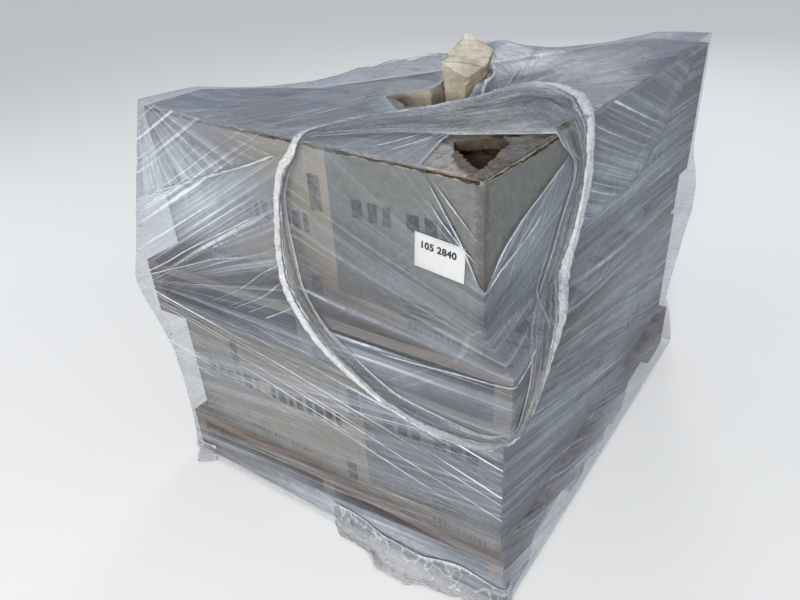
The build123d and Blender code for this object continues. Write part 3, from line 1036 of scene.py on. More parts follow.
def wood_finish(name, along, pale, wet=0.0):
    """Rough-sawn pallet wood with grain along one way, knots, saw marks and grey weathering."""
    f = Finish(name, Roughness=0.8, Specular_IOR_Level=0.3)
    place = f.place()
    lengthwise = along == "x"
    stretch = np.array((1.0, 9.0, 9.0) if lengthwise else (9.0, 1.0, 9.0))
    grain = f.noise(f.mapped(place, tuple(stretch)), 6.0, 5.0, 0.62, 1.2)
    threads = f.noise(f.mapped(place, tuple(4.5 * stretch)), 14.0, 4.0, 0.65)
    board = (0.2, 6.3, 1.0) if lengthwise else (2.0, 0.1, 1.0)
    each = f.noise(f.mapped(place, board), 1.0, 0.0)
    knotty = f.mapped(place, tuple(0.55 * stretch))
    knot = f.add("TexVoronoi", {"Vector": knotty, "Scale": 3.2, "Randomness": 1.0})
    colour = f.mix(f.spread(grain, 0.34, 0.66), pale, tinted(pale, 0.40))
    colour = f.mix(f.spread(threads, 0.48, 0.70, 0.0, 0.6), colour, tinted(pale, 0.3))
    colour = f.mix(f.spread(each, 0.35, 0.65, 0.0, 0.65), colour, (0.27, 0.25, 0.225))
    knot = f.spread(knot, 0.03, 0.11, 0.85, 0.0, smooth=True)
    colour = f.mix(knot, colour, (0.075, 0.04, 0.022))
    if wet:
        low = f.spread(f.part(place, "Z"), 0.0, wet, 0.6, 0.0)
        colour = f.mix(low, colour, (0.10, 0.06, 0.04))
    saw = f.add(
        "TexWave",
        {"Vector": place, "Scale": 45.0, "Distortion": 3.0, "Detail": 2.0},
        bands_direction="X" if lengthwise else "Y",
    )
    height = f.total(f.product(threads, 0.7), (grain, 0.6), (saw, 0.10))
    return f.done(
        Base_Color=colour,
        Roughness=f.spread(threads, 0.3, 0.7, 0.70, 0.92),
        Normal=f.bump(height, 0.0025, 0.8),
    )


def stone_finish(name, packed=False, cut=(0.25, -0.3, 0.92), low=0.35, high=0.8):
    """Split limestone: a pale cut face, greyer tan sides with painted shade, and dark pits."""
    f = Finish(name, Roughness=0.9, Specular_IOR_Level=0.3)
    place = f.place()
    pale = bpy.context.scene.stone_settings.pale_colour
    blotch = f.noise(place, 9.0, 4.0, 0.6)
    grit = f.noise(place, 70.0, 6.0, 0.75)
    pits = f.add("TexVoronoi", {"Vector": place, "Scale": 190.0, "Randomness": 1.0})
    bedding = f.noise(f.mapped(place, (6, 6, 30)), 2.5, 4.0, 0.6, 0.6)
    colour = f.mix(f.spread(blotch, 0.38, 0.66), pale, (0.60, 0.535, 0.43))
    colour = f.mix(f.spread(bedding, 0.46, 0.68, 0.0, 0.36), colour, (0.34, 0.30, 0.24))
    colour = f.mix(f.spread(grit, 0.50, 0.72, 0.0, 0.55), colour, tinted(pale, 0.45))
    colour = f.mix(f.spread(grit, 0.40, 0.28, 0.0, 0.5), colour, (0.82, 0.77, 0.65))
    colour = f.mix(f.spread(pits, 0.03, 0.22, 0.45, 0.0), colour, (0.16, 0.12, 0.08))
    # The faces turned from the pale cut face are greyer tan: partly the weathered sides' own
    # colour, partly painted shade
    turned = f.add(
        "VectorMath", {0: f.facing(), 1: cut}, out="Value", operation="DOT_PRODUCT"
    )
    side = f.product(
        f.spread(turned, low, high, 1.0, 0.0), f.spread(blotch, 0.30, 0.60, 0.65, 1.0)
    )
    colour = f.mix(side, colour, (0.66, 0.63, 0.56), blend="MULTIPLY")
    # Painted shade: faces turned towards +X are darker
    shaded = f.spread(f.part(f.facing(), "X"), 0.25, 0.75, 0.0, 0.8)
    colour = f.mix(shaded, colour, (0.66, 0.64, 0.62), blend="MULTIPLY")
    # Packed core: painted shade in the gaps between its stones and over the whole of it, where it
    # shows between the loose stones
    if packed:
        rows = f.mapped(place, (5.5, 9, 14))
        rows = f.add("TexVoronoi", {"Vector": rows, "Scale": 1.0}, feature="DISTANCE_TO_EDGE")
        colour = f.mix(f.spread(rows, 0.01, 0.06, 0.65, 0.0), colour, (0.07, 0.06, 0.05))
        colour = f.mix(0.35, colour, (0.10, 0.085, 0.065))
    return f.done(
        Base_Color=colour,
        Roughness=f.spread(grit, 0.3, 0.7, 0.80, 0.97),
        Normal=f.bump(f.total(grit, (pits, 0.25)), 0.004, 0.9),
    )


def torn_finish(name, pale, dark, dark_share=0.5, warm=(0.34, 0.17, 0.07)):
    """Torn paper: fibrous, mottled, brown where the inner layers show."""
    f = Finish(name, Roughness=0.92, Specular_IOR_Level=0.2)
    place = f.place()
    flakes = f.noise(place, 55.0, 6.0, 0.72, 0.6)
    fibre = f.noise(place, 330.0, 3.0, 0.7)
    broad = f.noise(place, 9.0, 3.0, 0.6)
    colour = f.mix(f.spread(flakes, 0.44 + 0.1 * (0.5 - dark_share), 0.66), pale, dark)
    colour = f.mix(f.spread(broad, 0.52, 0.70, 0.0, 0.6), colour, warm)
    colour = f.mix(f.spread(fibre, 0.5, 0.72, 0.0, 0.5), colour, tinted(dark, 0.55))
    return f.done(Base_Color=colour, Normal=f.bump(f.total(flakes, (fibre, 0.35)), 0.003, 0.9))


def ink_finish(name):
    """Faded print: thin dark ink worn through to the board."""
    ink = bpy.context.scene.board_settings.ink_colour
    f = Finish(name, Roughness=0.8)
    place = f.place()
    wear = f.noise(place, 55.0, 5.0, 0.7)
    fade = f.spread(f.noise(place, 4.0, 2.0), 0.3, 0.7, 0.45, 0.95)
    hide = f.product(f.spread(wear, 0.38, 0.60, 1.0, 0.35), fade)
    return f.done(Base_Color=f.mix(wear, ink, tinted(ink, 2.2)), Alpha=hide)


def plain_finish(name, colour, roughness, speckle=0.15, metallic=0.0, scale=180.0):
    """An even finish with a little speckle, for paper, ink and nail heads."""
    f = Finish(name, Metallic=metallic)
    grain = f.noise(f.place(), scale, 4.0, 0.6)
    return f.done(
        Base_Color=f.mix(f.spread(grain, 0.35, 0.65), colour, tinted(colour, 1 - speckle)),
        Roughness=f.spread(grain, 0.3, 0.7, roughness - 0.08, roughness + 0.08),
        Normal=f.bump(grain, 0.0004, 0.5),
    )


# Operators

# The camera's place and its turn in degrees, as fitted to the edges of the load
CAMERA_PLACE, CAMERA_TURN = (0.9465, -1.51344, 1.45044), (58.44707, 3.1896, 34.30674)


class PALLET_OT_stage(bpy.types.Operator):
    """Makes the floor, the soft lamps and the camera."""

    bl_idname = "stone_pallet.stage"
    bl_label = "Stage"

    def execute(self, context):
        settings = context.scene.stage_settings
        colour = settings.floor_colour
        bpy.ops.mesh.primitive_plane_add(size=60, location=(0, 0, 0))
        floor = context.object
        floor.name = floor.data.name = "studio_floor"
        finish = Finish("studio_floor", Roughness=0.95)
        seen = finish.add("LightPath", out="Is Camera Ray")
        mirror = finish.add("LightPath", out="Is Glossy Ray")
        through = finish.add("LightPath", out="Is Transmission Ray")
        bright = finish.math("MAXIMUM", finish.math("MAXIMUM", seen, mirror), through)
        shade = finish.mix(bright, tinted(colour, 0.62), colour)
        glow = finish.math("MULTIPLY", bright, 0.30)
        finish.done(Base_Color=shade, Emission_Color=(*colour, 1.0), Emission_Strength=glow)
        floor.data.materials.append(finish.material)
        world = bpy.data.worlds.new("studio")
        context.scene.world = world
        world.use_nodes = True
        tree = world.node_tree
        path = tree.nodes.new("ShaderNodeLightPath")
        background = tree.nodes["Background"]
        pick = tree.nodes.new("ShaderNodeMix")
        pick.data_type = "RGBA"
        level = settings.world_level
        pick.inputs[6].default_value = (level * 0.93, level, level * 1.12, 1)
        pick.inputs[7].default_value = (0.93, 0.94, 0.95, 1)
        tree.links.new(path.outputs["Is Camera Ray"], pick.inputs[0])
        tree.links.new(pick.outputs[2], background.inputs["Color"])
        # Name, place, where it points, size, power and tint
        power = settings.key_power
        for name, place, target, size, energy, tint in (
            ("key", (1.7, -4.3, 1.9), (0.0, 0.0, 0.6), 1.4, power, (1.0, 0.97, 0.92)),
            ("side", (3.6, 2.6, 2.6), (0.2, 0.0, 0.6), 1.4, 0.19 * power, (0.86, 0.93, 1.0)),
            ("fill", (-3.8, -1.6, 2.4), (0, 0, 0.5), 2.2, 0.22 * power, (0.93, 0.96, 1.0)),
            ("back", (-1.2, 4.2, 3.2), (0, 0, 0.8), 1.6, 0.26 * power, (1.0, 1.0, 1.0)),
        ):
            data = bpy.data.lights.new(name, "AREA")
            data.shape, data.size, data.energy, data.color = "DISK", size, energy, tint
            lamp = bpy.data.objects.new(name, data)
            lamp.location = place
            ray = Vector(target) - Vector(place)
            lamp.rotation_euler = ray.to_track_quat("-Z", "Y").to_euler()
            context.scene.collection.objects.link(lamp)
        data = bpy.data.cameras.new("camera")
        data.lens, data.sensor_width, data.sensor_fit = settings.lens, 36.0, "HORIZONTAL"
        data.clip_start, data.clip_end = 0.05, 100
        camera = bpy.data.objects.new("camera", data)
        camera.location = CAMERA_PLACE
        camera.rotation_euler = Euler([math.radians(a) for a in CAMERA_TURN], "XYZ")
        context.scene.collection.objects.link(camera)
        context.scene.camera = camera
        context.scene.view_settings.view_transform = "Standard"
        return {"FINISHED"}


# Places of the pallets' stringers across, and of their boards along, from the middle
STRINGERS = (-0.489, 0.0, 0.489)
INNER_TOP_BOARDS = [k * (1.219 - 2 * 0.140 + 0.089) / 6 for k in range(-2, 3)]
INNER_LOW_BOARDS, END_BOARDS = [-0.160, 0.0, 0.160], [-0.5395, 0.5395]


class PALLET_OT_wood(bpy.types.Operator):
    """Gives both pallets their rough-sawn wood and their nails."""

    bl_idname = "stone_pallet.wood"
    bl_label = "Pallet wood"

    def execute(self, context):
        settings = context.scene.wood_settings
        lower, upper = tuple(settings.lower_colour), tuple(settings.upper_colour)
        for node, name, along, pale, wet in (
            ("lower_pallet_bottom_boards", "lower_bottom_boards", "x", (0.42, 0.30, 0.20), 0.02),
            ("lower_pallet_stringers", "lower_stringers", "y", lower, 0.0),
            ("lower_pallet_top_boards", "lower_top_boards", "x", (0.34, 0.20, 0.125), 0.0),
            ("upper_pallet_bottom_boards", "upper_bottom_boards", "x", upper, 0.0),
            ("upper_pallet_stringers", "upper_stringers", "y", tinted(upper, 0.9), 0.0),
            ("upper_pallet_top_boards", "upper_top_boards", "x", tinted(upper, 1.05), 0.0),
        ):
            give(node, wood_finish(name, along, pale, wet))
        rust = plain_finish("nail_rust", (0.13, 0.085, 0.06), 0.62, 0.4, 0.75, 600.0)
        top = (LOWER_BASE, INNER_TOP_BOARDS + END_BOARDS, 1)
        self.nails("lower_pallet", [top], "lower_pallet_wood", rust)
        low = (UPPER_BASE - LOWER_BASE, INNER_LOW_BOARDS + END_BOARDS, -1)
        top = (UPPER_BASE, INNER_TOP_BOARDS + END_BOARDS, 1)
        self.nails("upper_pallet", [low, top], "pallet_wood", rust)
        return {"FINISHED"}

    def nails(self, tier, faces, slot, rust):
        """Two nail heads where each board crosses each stringer, as one piece a pallet."""
        deselect()
        bpy.ops.mesh.primitive_cylinder_add(
            vertices=10, radius=0.0045, depth=0.0016, location=(0, 0, 0)
        )
        head = bpy.context.object
        make_active(head)
        bpy.ops.object.mode_set(mode="EDIT")
        bpy.ops.mesh.select_all(action="SELECT")
        bpy.ops.mesh.bevel(offset=0.0006, segments=1)
        bpy.ops.object.mode_set(mode="OBJECT")
        points, rings = taken_apart(head)
        all_points, all_rings = [], []
        for height, boards, side in faces:
            for y in boards:
                pair = (-0.022, 0.024) if y not in END_BOARDS else (-0.038, 0.036)
                for x in STRINGERS:
                    for dy in pair:
                        drift = 0.004 * math.sin(91 * y + dy * 700)
                        px, py = in_tier(tier, x + drift, y + dy)
                        start = len(all_points)
                        all_points += (points + np.array([px, py, height + side * 0.0003])).tolist()
                        all_rings += [[start + i for i in ring] for ring in rings]
        nails = surface(tier + "_nails", all_points, all_rings, rust, smooth=False)
        settle(nails)


# Plain print: bars as distance from the near corner, middle's height, width and height
PRINTED_BARS = [
    (0.777, 0.289, 0.024, 0.075), (0.384, 0.284, 0.034, 0.080), (0.414, 0.054, 0.030, 0.060),
]
# Rows of blocks: face, start and stop from the near corner, middle's height, a block's height
# and width, and the gap after it
PRINTED_ROWS = [
    ("front", 0.892, 0.425, 0.208, 0.046, 0.020, 0.012),
    ("front", 0.302, 0.085, 0.273, 0.042, 0.020, 0.012),
    ("front", 0.176, 0.040, 0.014, 0.016, 0.008, 0.005),
    ("front", 0.830, 0.560, 0.050, 0.012, 0.007, 0.005),
    ("right", 0.90, 0.42, 0.170, 0.050, 0.022, 0.014),
    ("right", 0.78, 0.50, 0.090, 0.018, 0.009, 0.006),
]
LOWEST_MARK, INK_LIFT = 0.012, 0.0004
# Inner edge of the front flap's pale paper, in the crate's own plan
LINER_EDGE = [
    (-0.478, -0.505), (-0.42, -0.508), (-0.35, -0.507), (-0.22, -0.520), (-0.10, -0.530),
    (0.03, -0.528), (0.16, -0.505), (0.23, -0.470), (0.29, -0.448), (0.322, -0.452),
    (0.350, -0.487), (0.384, -0.516), (0.420, -0.548), (0.442, -0.566),
]
# The hole torn at the near corner, in the crate's own plan
HOLE = [
    (0.324, -0.443), (0.358, -0.408), (0.396, -0.384), (0.430, -0.376), (0.424, -0.420),
    (0.438, -0.468), (0.453, -0.534), (0.446, -0.552), (0.420, -0.540), (0.384, -0.508),
    (0.350, -0.480),
]
# Scraps of board round it: height above the crate, relief, seed, curl and outline
SCRAPS = {
    # Lies deep in the hole, near black: painted shade inside the hole
    "pressed_flap_painted_shade": (-0.034, 0.010, 52, 0.0, [
        (0.30, -0.45), (0.36, -0.385), (0.44, -0.355), (0.450, -0.46), (0.466, -0.55),
        (0.44, -0.568), (0.36, -0.515),
    ]),
    "torn_scrap_front": (0.0022, 0.0035, 57, 0.0, [
        (0.366, -0.513), (0.361, -0.486), (0.388, -0.506), (0.424, -0.537), (0.452, -0.552),
        (0.448, -0.577), (0.409, -0.556),
    ]),
    "torn_scrap_right": (0.0018, 0.0060, 63, 0.003, [
        (0.400, -0.388), (0.426, -0.380), (0.450, -0.335), (0.4820, -0.330), (0.4820, -0.585),
        (0.455, -0.584), (0.452, -0.545), (0.440, -0.472), (0.430, -0.419),
    ]),
    # Near black: painted shade under the hole's back edge
    "back_scrap_painted_shade": (0.0030, 0.0040, 69, 0.0, [
        (0.372, -0.398), (0.392, -0.376), (0.424, -0.366), (0.452, -0.350), (0.440, -0.382),
        (0.424, -0.386), (0.398, -0.397),
    ]),
}
SCRAP_CELL = 0.0022


class PALLET_OT_board(bpy.types.Operator):
    """Gives the crates their board, plain print, torn liner and ragged hole."""

    bl_idname = "stone_pallet.board"
    bl_label = "Crates"

    def execute(self, context):
        give("lower_crate", board_finish("lower_board", "lower_crate", LOWER_BASE, 0.35))
        give("upper_crate", board_finish("upper_board", "upper_crate", UPPER_BASE, 0.55))
        ink = ink_finish("faded_ink")
        self.print_marks("upper_crate", UPPER_BASE, ink, 0.028, 0.017)
        self.print_marks("lower_crate", LOWER_BASE, ink, 0.012, 0.0)
        self.torn_liner()
        self.torn_rim()
        self.split_edge()
        return {"FINISHED"}

    def print_marks(self, tier, base, ink, drop, shift):
        """Plain bars and rows of blocks where the crates carry print, lowered by drop."""
        rng = np.random.default_rng(7)
        marks = [("front", away + shift, *rest) for away, *rest in PRINTED_BARS]
        for face, start, stop, middle, tall, wide, gap in PRINTED_ROWS:
            at = start
            while at > stop:
                step = wide * (0.7 + 0.8 * rng.random())
                size = tall * (0.92 + 0.1 * rng.random())
                marks.append((face, at - step / 2, middle, step, size))
                at -= step + gap * (0.7 + 0.5 * rng.random())
                if rng.random() < 0.12:
                    at -= 2.2 * gap
        for line in range(5):
            marks.append(("front", 0.13 + 0.02 * rng.random(), 0.10 - 0.0125 * line, 0.09, 0.004))
        points = []
        for face, away, middle, wide, tall in marks:
            z = base + max(middle - drop, LOWEST_MARK)
            for along, up in ((-wide, -tall), (wide, -tall), (wide, tall), (-wide, tall)):
                if face == "front":
                    x, y = CRATE_WIDTH / 2 - away + along / 2, -CRATE_DEPTH / 2 - INK_LIFT
                else:
                    x, y = CRATE_WIDTH / 2 + INK_LIFT, -CRATE_DEPTH / 2 + away + along / 2
                points.append((*in_tier(tier, x, y), z + up / 2))
        faces = np.arange(len(points)).reshape(-1, 4).tolist()
        piece = surface(tier + "_print", points, faces, ink, smooth=False)
        settle(piece)

    def torn_liner(self):
        """The weathered front flap: its top paper has gone pale and flakes at its edge."""
        xs = np.linspace(-0.476, 0.440, 300)
        inner = np.interp(xs, *zip(*LINER_EDGE)) + 0.010 * soft_noise(xs * 40, 0 * xs, 41, 3)
        inner = inner + 0.004 * soft_noise(xs * 210, 0 * xs, 42)
        outer = -0.5795 + 0.0025 * soft_noise(xs * 60, 0 * xs + 3, 43, 2)
        rows = 15
        t = np.linspace(0, 1, rows)[:, None]
        x = np.repeat(xs[None], rows, 0)
        y = outer[None] * (1 - t) + inner[None] * t
        z = LOAD_TOP + 0.0011 + 0.0007 * soft_noise(x * 90, y * 90, 44, 3) - sunk_drop(x, y)
        points = np.stack([*in_tier("upper_crate", x, y), z], axis=-1).reshape(-1, 3)
        finish = torn_finish(
            "weathered_liner", (0.62, 0.60, 0.57), (0.27, 0.25, 0.22), 0.35, (0.40, 0.34, 0.27)
        )
        faces = grid_faces(rows, len(xs)).tolist()
        piece = surface("front_flap_liner", points, faces, finish)
        apply_modifier(piece, "SOLIDIFY", thickness=0.0009, offset=-1.0)
        settle(piece)

    def scrap(self, name, finish):
        """A ragged, crumpled scrap of board lying on top of the crate."""
        above, relief, seed, curl, outline = SCRAPS[name]
        points = np.array(outline)
        low, high = points.min(0) - 0.006, points.max(0) + 0.006
        nx, ny = (int((high[k] - low[k]) / SCRAP_CELL) + 1 for k in (0, 1))
        x, y = np.meshgrid(np.linspace(low[0], high[0], nx), np.linspace(low[1], high[1], ny))
        inside = signed_distance(x, y, outline)
        ragged = inside + 0.0045 * soft_noise(x * 130, y * 130, seed, 3)
        lump = soft_noise(x * 48, y * 48, seed + 1, 3)
        fold = np.abs(soft_noise(x * 34 + 5, y * 34, seed + 2, 2))
        height = LOAD_TOP + above + relief * (0.45 + 0.5 * lump + 0.5 * fold)
        height = height + curl * np.exp(-((inside / 0.010) ** 2))
        shape = np.stack([*in_tier("upper_crate", x, y), height], axis=-1).reshape(-1, 3)
        faces = grid_faces(ny, nx)
        used, faces = trimmed(faces[ragged.reshape(-1)[faces].min(1) > 0])
        piece = surface(name, shape[used], faces, finish)
        apply_modifier(piece, "SOLIDIFY", thickness=0.0012, offset=-1.0)
        settle(piece)

    def torn_rim(self):
        """The torn near corner: broken edge, pressed-in flap, and scraps of board round it."""
        hole = np.array(HOLE)
        loop = []
        for a, b in zip(hole, np.roll(hole, -1, 0)):
            for t in np.linspace(0, 1, 22)[:-1]:
                loop.append(a * (1 - t) + b * t)
        loop = np.array(loop)
        k = np.arange(len(loop))
        ahead = unit(np.roll(loop, -1, 0) - np.roll(loop, 1, 0))
        inward = np.stack([ahead[:, 1], -ahead[:, 0]], axis=1)
        jag = 0.5 + 0.5 * soft_noise(k * 0.5, 0 * k, 51, 3)
        rows = 6
        points = []
        for t in np.linspace(0, 1, rows):
            plan = loop + inward * (0.0008 + t * 0.0045 * (0.3 + jag))[:, None]
            z = LOAD_TOP + 0.0008 - t * (0.016 + 0.008 * jag)
            points.append(np.stack([*in_tier("upper_crate", *plan.T), z], axis=1))
        # The broken edge's brown board, darkened as painted shade inside the hole
        brown = torn_finish(
            "torn_fluting_and_shade", (0.12, 0.09, 0.065), (0.04, 0.03, 0.022), 0.6, (0.12, 0.075, 0.045)
        )
        faces = grid_faces(rows, len(loop), closed_columns=True).tolist()
        edge = surface("torn_board_edge", np.concatenate(points), faces, brown)
        apply_modifier(edge, "SOLIDIFY", thickness=0.0012, offset=1.0)
        settle(edge)
        # Near black: painted shade inside the hole and under its back edge
        dark = torn_finish(
            "pressed_flap_painted_shade", (0.085, 0.065, 0.05), (0.03, 0.022, 0.018), 0.6, (0.16, 0.09, 0.05)
        )
        grey = torn_finish(
            "torn_liner", (0.27, 0.26, 0.245), (0.10, 0.085, 0.07), 0.6, (0.22, 0.17, 0.12)
        )
        tan = torn_finish(
            "torn_inner_liner", (0.25, 0.20, 0.155), (0.09, 0.06, 0.045), 0.55, (0.26, 0.155, 0.085)
        )
        # The pressed-in flap and the back scrap take the near-black finish of painted shade
        for name, finish in zip(SCRAPS, (dark, tan, grey, dark)):
            self.scrap(name, finish)

    def split_edge(self):
        """The ragged lines where the flaps' paper has split along their folds, near black as
        painted shade.
        """
        # Near black: painted shade in the splits
        finish = torn_finish(
            "split_fold_shade", (0.075, 0.055, 0.045), (0.02, 0.016, 0.014), 0.6, (0.16, 0.09, 0.05)
        )
        for name, start, stop, on_right, depth, seed in (
            ("front_fold_split_shade", -0.470, 0.470, False, 0.004, 71),
            ("right_fold_split_shade", -0.578, -0.300, True, 0.005, 75),
        ):
            at = np.linspace(start, stop, int((stop - start) / 0.0022))
            k = at * 1000
            wide = 0.0035 + 0.0035 * soft_noise(k * 0.02, 0 * k, seed, 3)
            wide = np.clip(wide, 0.0012, 0.009) * np.clip((at - start) / 0.06, 0.1, 1)
            middle = LOAD_TOP - depth + 0.0035 * soft_noise(k * 0.012, 0 * k + 5, seed + 1, 3)
            edge = 0.0022 * soft_noise(k * 0.14, 0 * k, seed + 2, 2)
            if on_right:
                plan = in_tier("upper_crate", 0 * at + CRATE_WIDTH / 2 + 0.0005, at)
            else:
                plan = in_tier("upper_crate", at, 0 * at - CRATE_DEPTH / 2 - 0.0005)
            upper = np.minimum(middle + wide + edge, LOAD_TOP - 0.0008)
            rows = [np.stack([*plan, z], axis=1) for z in (middle - wide + edge, middle, upper)]
            faces = grid_faces(len(rows), len(at)).tolist()
            settle(surface(name, np.concatenate(rows), faces, finish))


def vertex_rows(mesh, key):
    """One vector for each point of a mesh."""
    rows = np.empty(len(mesh.vertices) * 3, np.float32)
    mesh.vertices.foreach_get(key, rows)
    return rows.reshape(-1, 3)


# Smallest and largest share of a chip's size along each of its sides
CHIP_SHARES = [(0.9, 1.7), (0.7, 1.1), (0.45, 0.8)]


class PALLET_OT_stones(bpy.types.Operator):
    """Breaks the stones' faces, and lays small chips between them."""

    bl_idname = "stone_pallet.stones"
    bl_label = "Stones"

    def execute(self, context):
        settings = context.scene.stone_settings
        finish = stone_finish("split_stone")
        packed = stone_finish("packed_stone", packed=True)
        give("upper_stone_core", packed)
        give("lower_stone_core", packed)
        self.broken("loose_stones", "loose_stone_pieces", 0.0055, settings.relief, finish)
        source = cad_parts["standing_stone"].data
        # The standing stone's largest upward face stays pale and its other faces take the painted
        # shade
        top = max(source.polygons, key=lambda p: p.area * (p.normal.z > 0.35))
        standing = stone_finish("standing_stone", cut=tuple(top.normal), low=0.80, high=0.93)
        relief = settings.relief * 0.45
        self.broken("standing_stone", "standing_stone_piece", 0.0026, relief, standing, 0.010)
        self.chips(finish)
        return {"FINISHED"}

    def broken(self, node, name, voxel, relief, finish, crags=0.0):
        """A copy of a node's stones, remeshed and given a split-faced relief. Crags deepen the
        shaded side."""
        deselect()
        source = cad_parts[node]
        piece = bpy.data.objects.new(name, source.data.copy())
        bpy.context.scene.collection.objects.link(piece)
        piece.data.materials.clear()
        piece.data.materials.append(finish)
        make_active(piece)
        bpy.ops.object.mode_set(mode="EDIT")
        bpy.ops.mesh.select_all(action="SELECT")
        bpy.ops.mesh.remove_doubles(threshold=0.0001)
        bpy.ops.mesh.normals_make_consistent(inside=False)
        bpy.ops.object.mode_set(mode="OBJECT")
        apply_modifier(piece, "REMESH", mode="VOXEL", voxel_size=voxel, use_smooth_shade=True)
        if voxel > 0.003:
            apply_modifier(piece, "SMOOTH", factor=0.5, iterations=2)
        for label, kind, size, depth in (
            ("stone_swell", "CLOUDS", 0.075, 1.3 * relief),
            ("stone_chip", "VORONOI", 0.035, 0.9 * relief),
            ("stone_grit", "CLOUDS", 0.009, 0.30 * relief),
        ):
            texture = bpy.data.textures.new(label, kind)
            texture.noise_scale = size
            if kind == "CLOUDS":
                texture.noise_depth = 3
            apply_modifier(
                piece,
                "DISPLACE",
                texture=texture,
                strength=depth,
                mid_level=0.62,
                texture_coords="GLOBAL",
            )
        mesh = piece.data
        places = vertex_rows(mesh, "co")
        if crags:
            normals = vertex_rows(mesh, "normal")
            right = np.clip((normals @ np.array([0.92, -0.38, -0.05]) - 0.25) / 0.35, 0, 1)
            along, high = places[:, 1] - 0.4 * places[:, 0], places[:, 2]
            deep = np.maximum(0, 0.15 + soft_noise(along * 50, high * 42, 91, 3))
            places -= normals * (right * crags * deep)[:, None]
        places[:, 2] = np.maximum(places[:, 2], STONE_BASE)
        mesh.vertices.foreach_set("co", places.ravel())
        mesh.update()
        make_active(piece)
        bpy.ops.object.shade_smooth_by_angle(angle=math.radians(38))
        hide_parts(node)
        settle(piece)

    def chips(self, finish):
        """Small broken pieces between the loose stones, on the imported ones."""
        rng = np.random.default_rng(12)
        deselect()
        bpy.ops.mesh.primitive_ico_sphere_add(subdivisions=2, radius=1.0, location=(0, 0, 0))
        points, faces = taken_apart(bpy.context.object)
        all_points, all_faces = [], []
        for _ in range(150):
            x, y = rng.uniform(-0.44, 0.44), rng.uniform(-0.54, 0.50)
            if sunk_drop(x, y) > 0.03 or (x > 0.20 and y < -0.32):
                continue
            size = rng.uniform(0.012, 0.030)
            shares = [rng.uniform(low, high) for low, high in CHIP_SHARES]
            jag = 1 + 0.32 * (rng.random(len(points)) - 0.5)
            shape = points * jag[:, None] * (np.array(shares) * size)
            turn = Matrix.Rotation(rng.uniform(0, 6.3), 3, "Z")
            turn = turn @ Matrix.Rotation(rng.uniform(-0.5, 0.5), 3, "X")
            shape = shape @ np.array(turn).T
            shape[:, 2] -= shape[:, 2].min() - 0.0004
            shape += np.array([*in_tier("upper_crate", x, y), CHIP_BASE])
            start = len(all_points)
            all_points += shape.tolist()
            all_faces += [[start + i for i in face] for face in faces]
        settle(surface("stone_chips", all_points, all_faces, finish, smooth=False))


class PALLET_OT_film(bpy.types.Operator):
    """Wraps the load in its film jacket, one sheet from the hem to the mouth."""

    bl_idname = "stone_pallet.film"
    bl_label = "Film jacket"

    def execute(self, context):
        settings = context.scene.film_settings
        shape = FilmShape(settings.crease)
        points, faces, attributes = shape.grid()
        jacket = surface("film_jacket", points, faces, film_finish(), attributes)
        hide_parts("stretch_film")
        settle(jacket)
        PALLET_OT_film.shape = shape
        return {"FINISHED"}


# The gathered loop of film: the middle of its rolled edge, the end of the thin web inside it,
# and the roll's width and thickness. On top the places are in the crate's own plan with a
# height; on the faces they are the distance from the near corner and the height.
LOOP_TOP = [
    ((0.045, -0.583, 1.034), (0.056, -0.586, 1.0345), 0.024, 0.014),
    ((0.056, -0.523, 1.036), (0.121, -0.538, 1.0345), 0.016, 0.010),
    ((0.088, -0.439, 1.037), (0.207, -0.470, 1.0345), 0.013, 0.009),
    ((0.141, -0.372, 1.038), (0.270, -0.448, 1.0345), 0.012, 0.008),
    ((0.190, -0.307, 1.040), (0.322, -0.430, 1.0345), 0.012, 0.008),
    ((0.238, -0.220, 1.042), (0.388, -0.392, 1.0345), 0.014, 0.009),
    ((0.254, -0.140, 1.044), (0.436, -0.366, 1.0345), 0.020, 0.012),
    ((0.288, -0.080, 1.044), (0.461, -0.349, 1.0345), 0.026, 0.014),
    ((0.350, -0.066, 1.044), (0.472, -0.344, 1.0345), 0.030, 0.015),
    ((0.420, -0.112, 1.043), (0.478, -0.338, 1.0345), 0.032, 0.016),
    ((0.466, -0.172, 1.038), (0.482, -0.332, 1.0325), 0.034, 0.016),
]
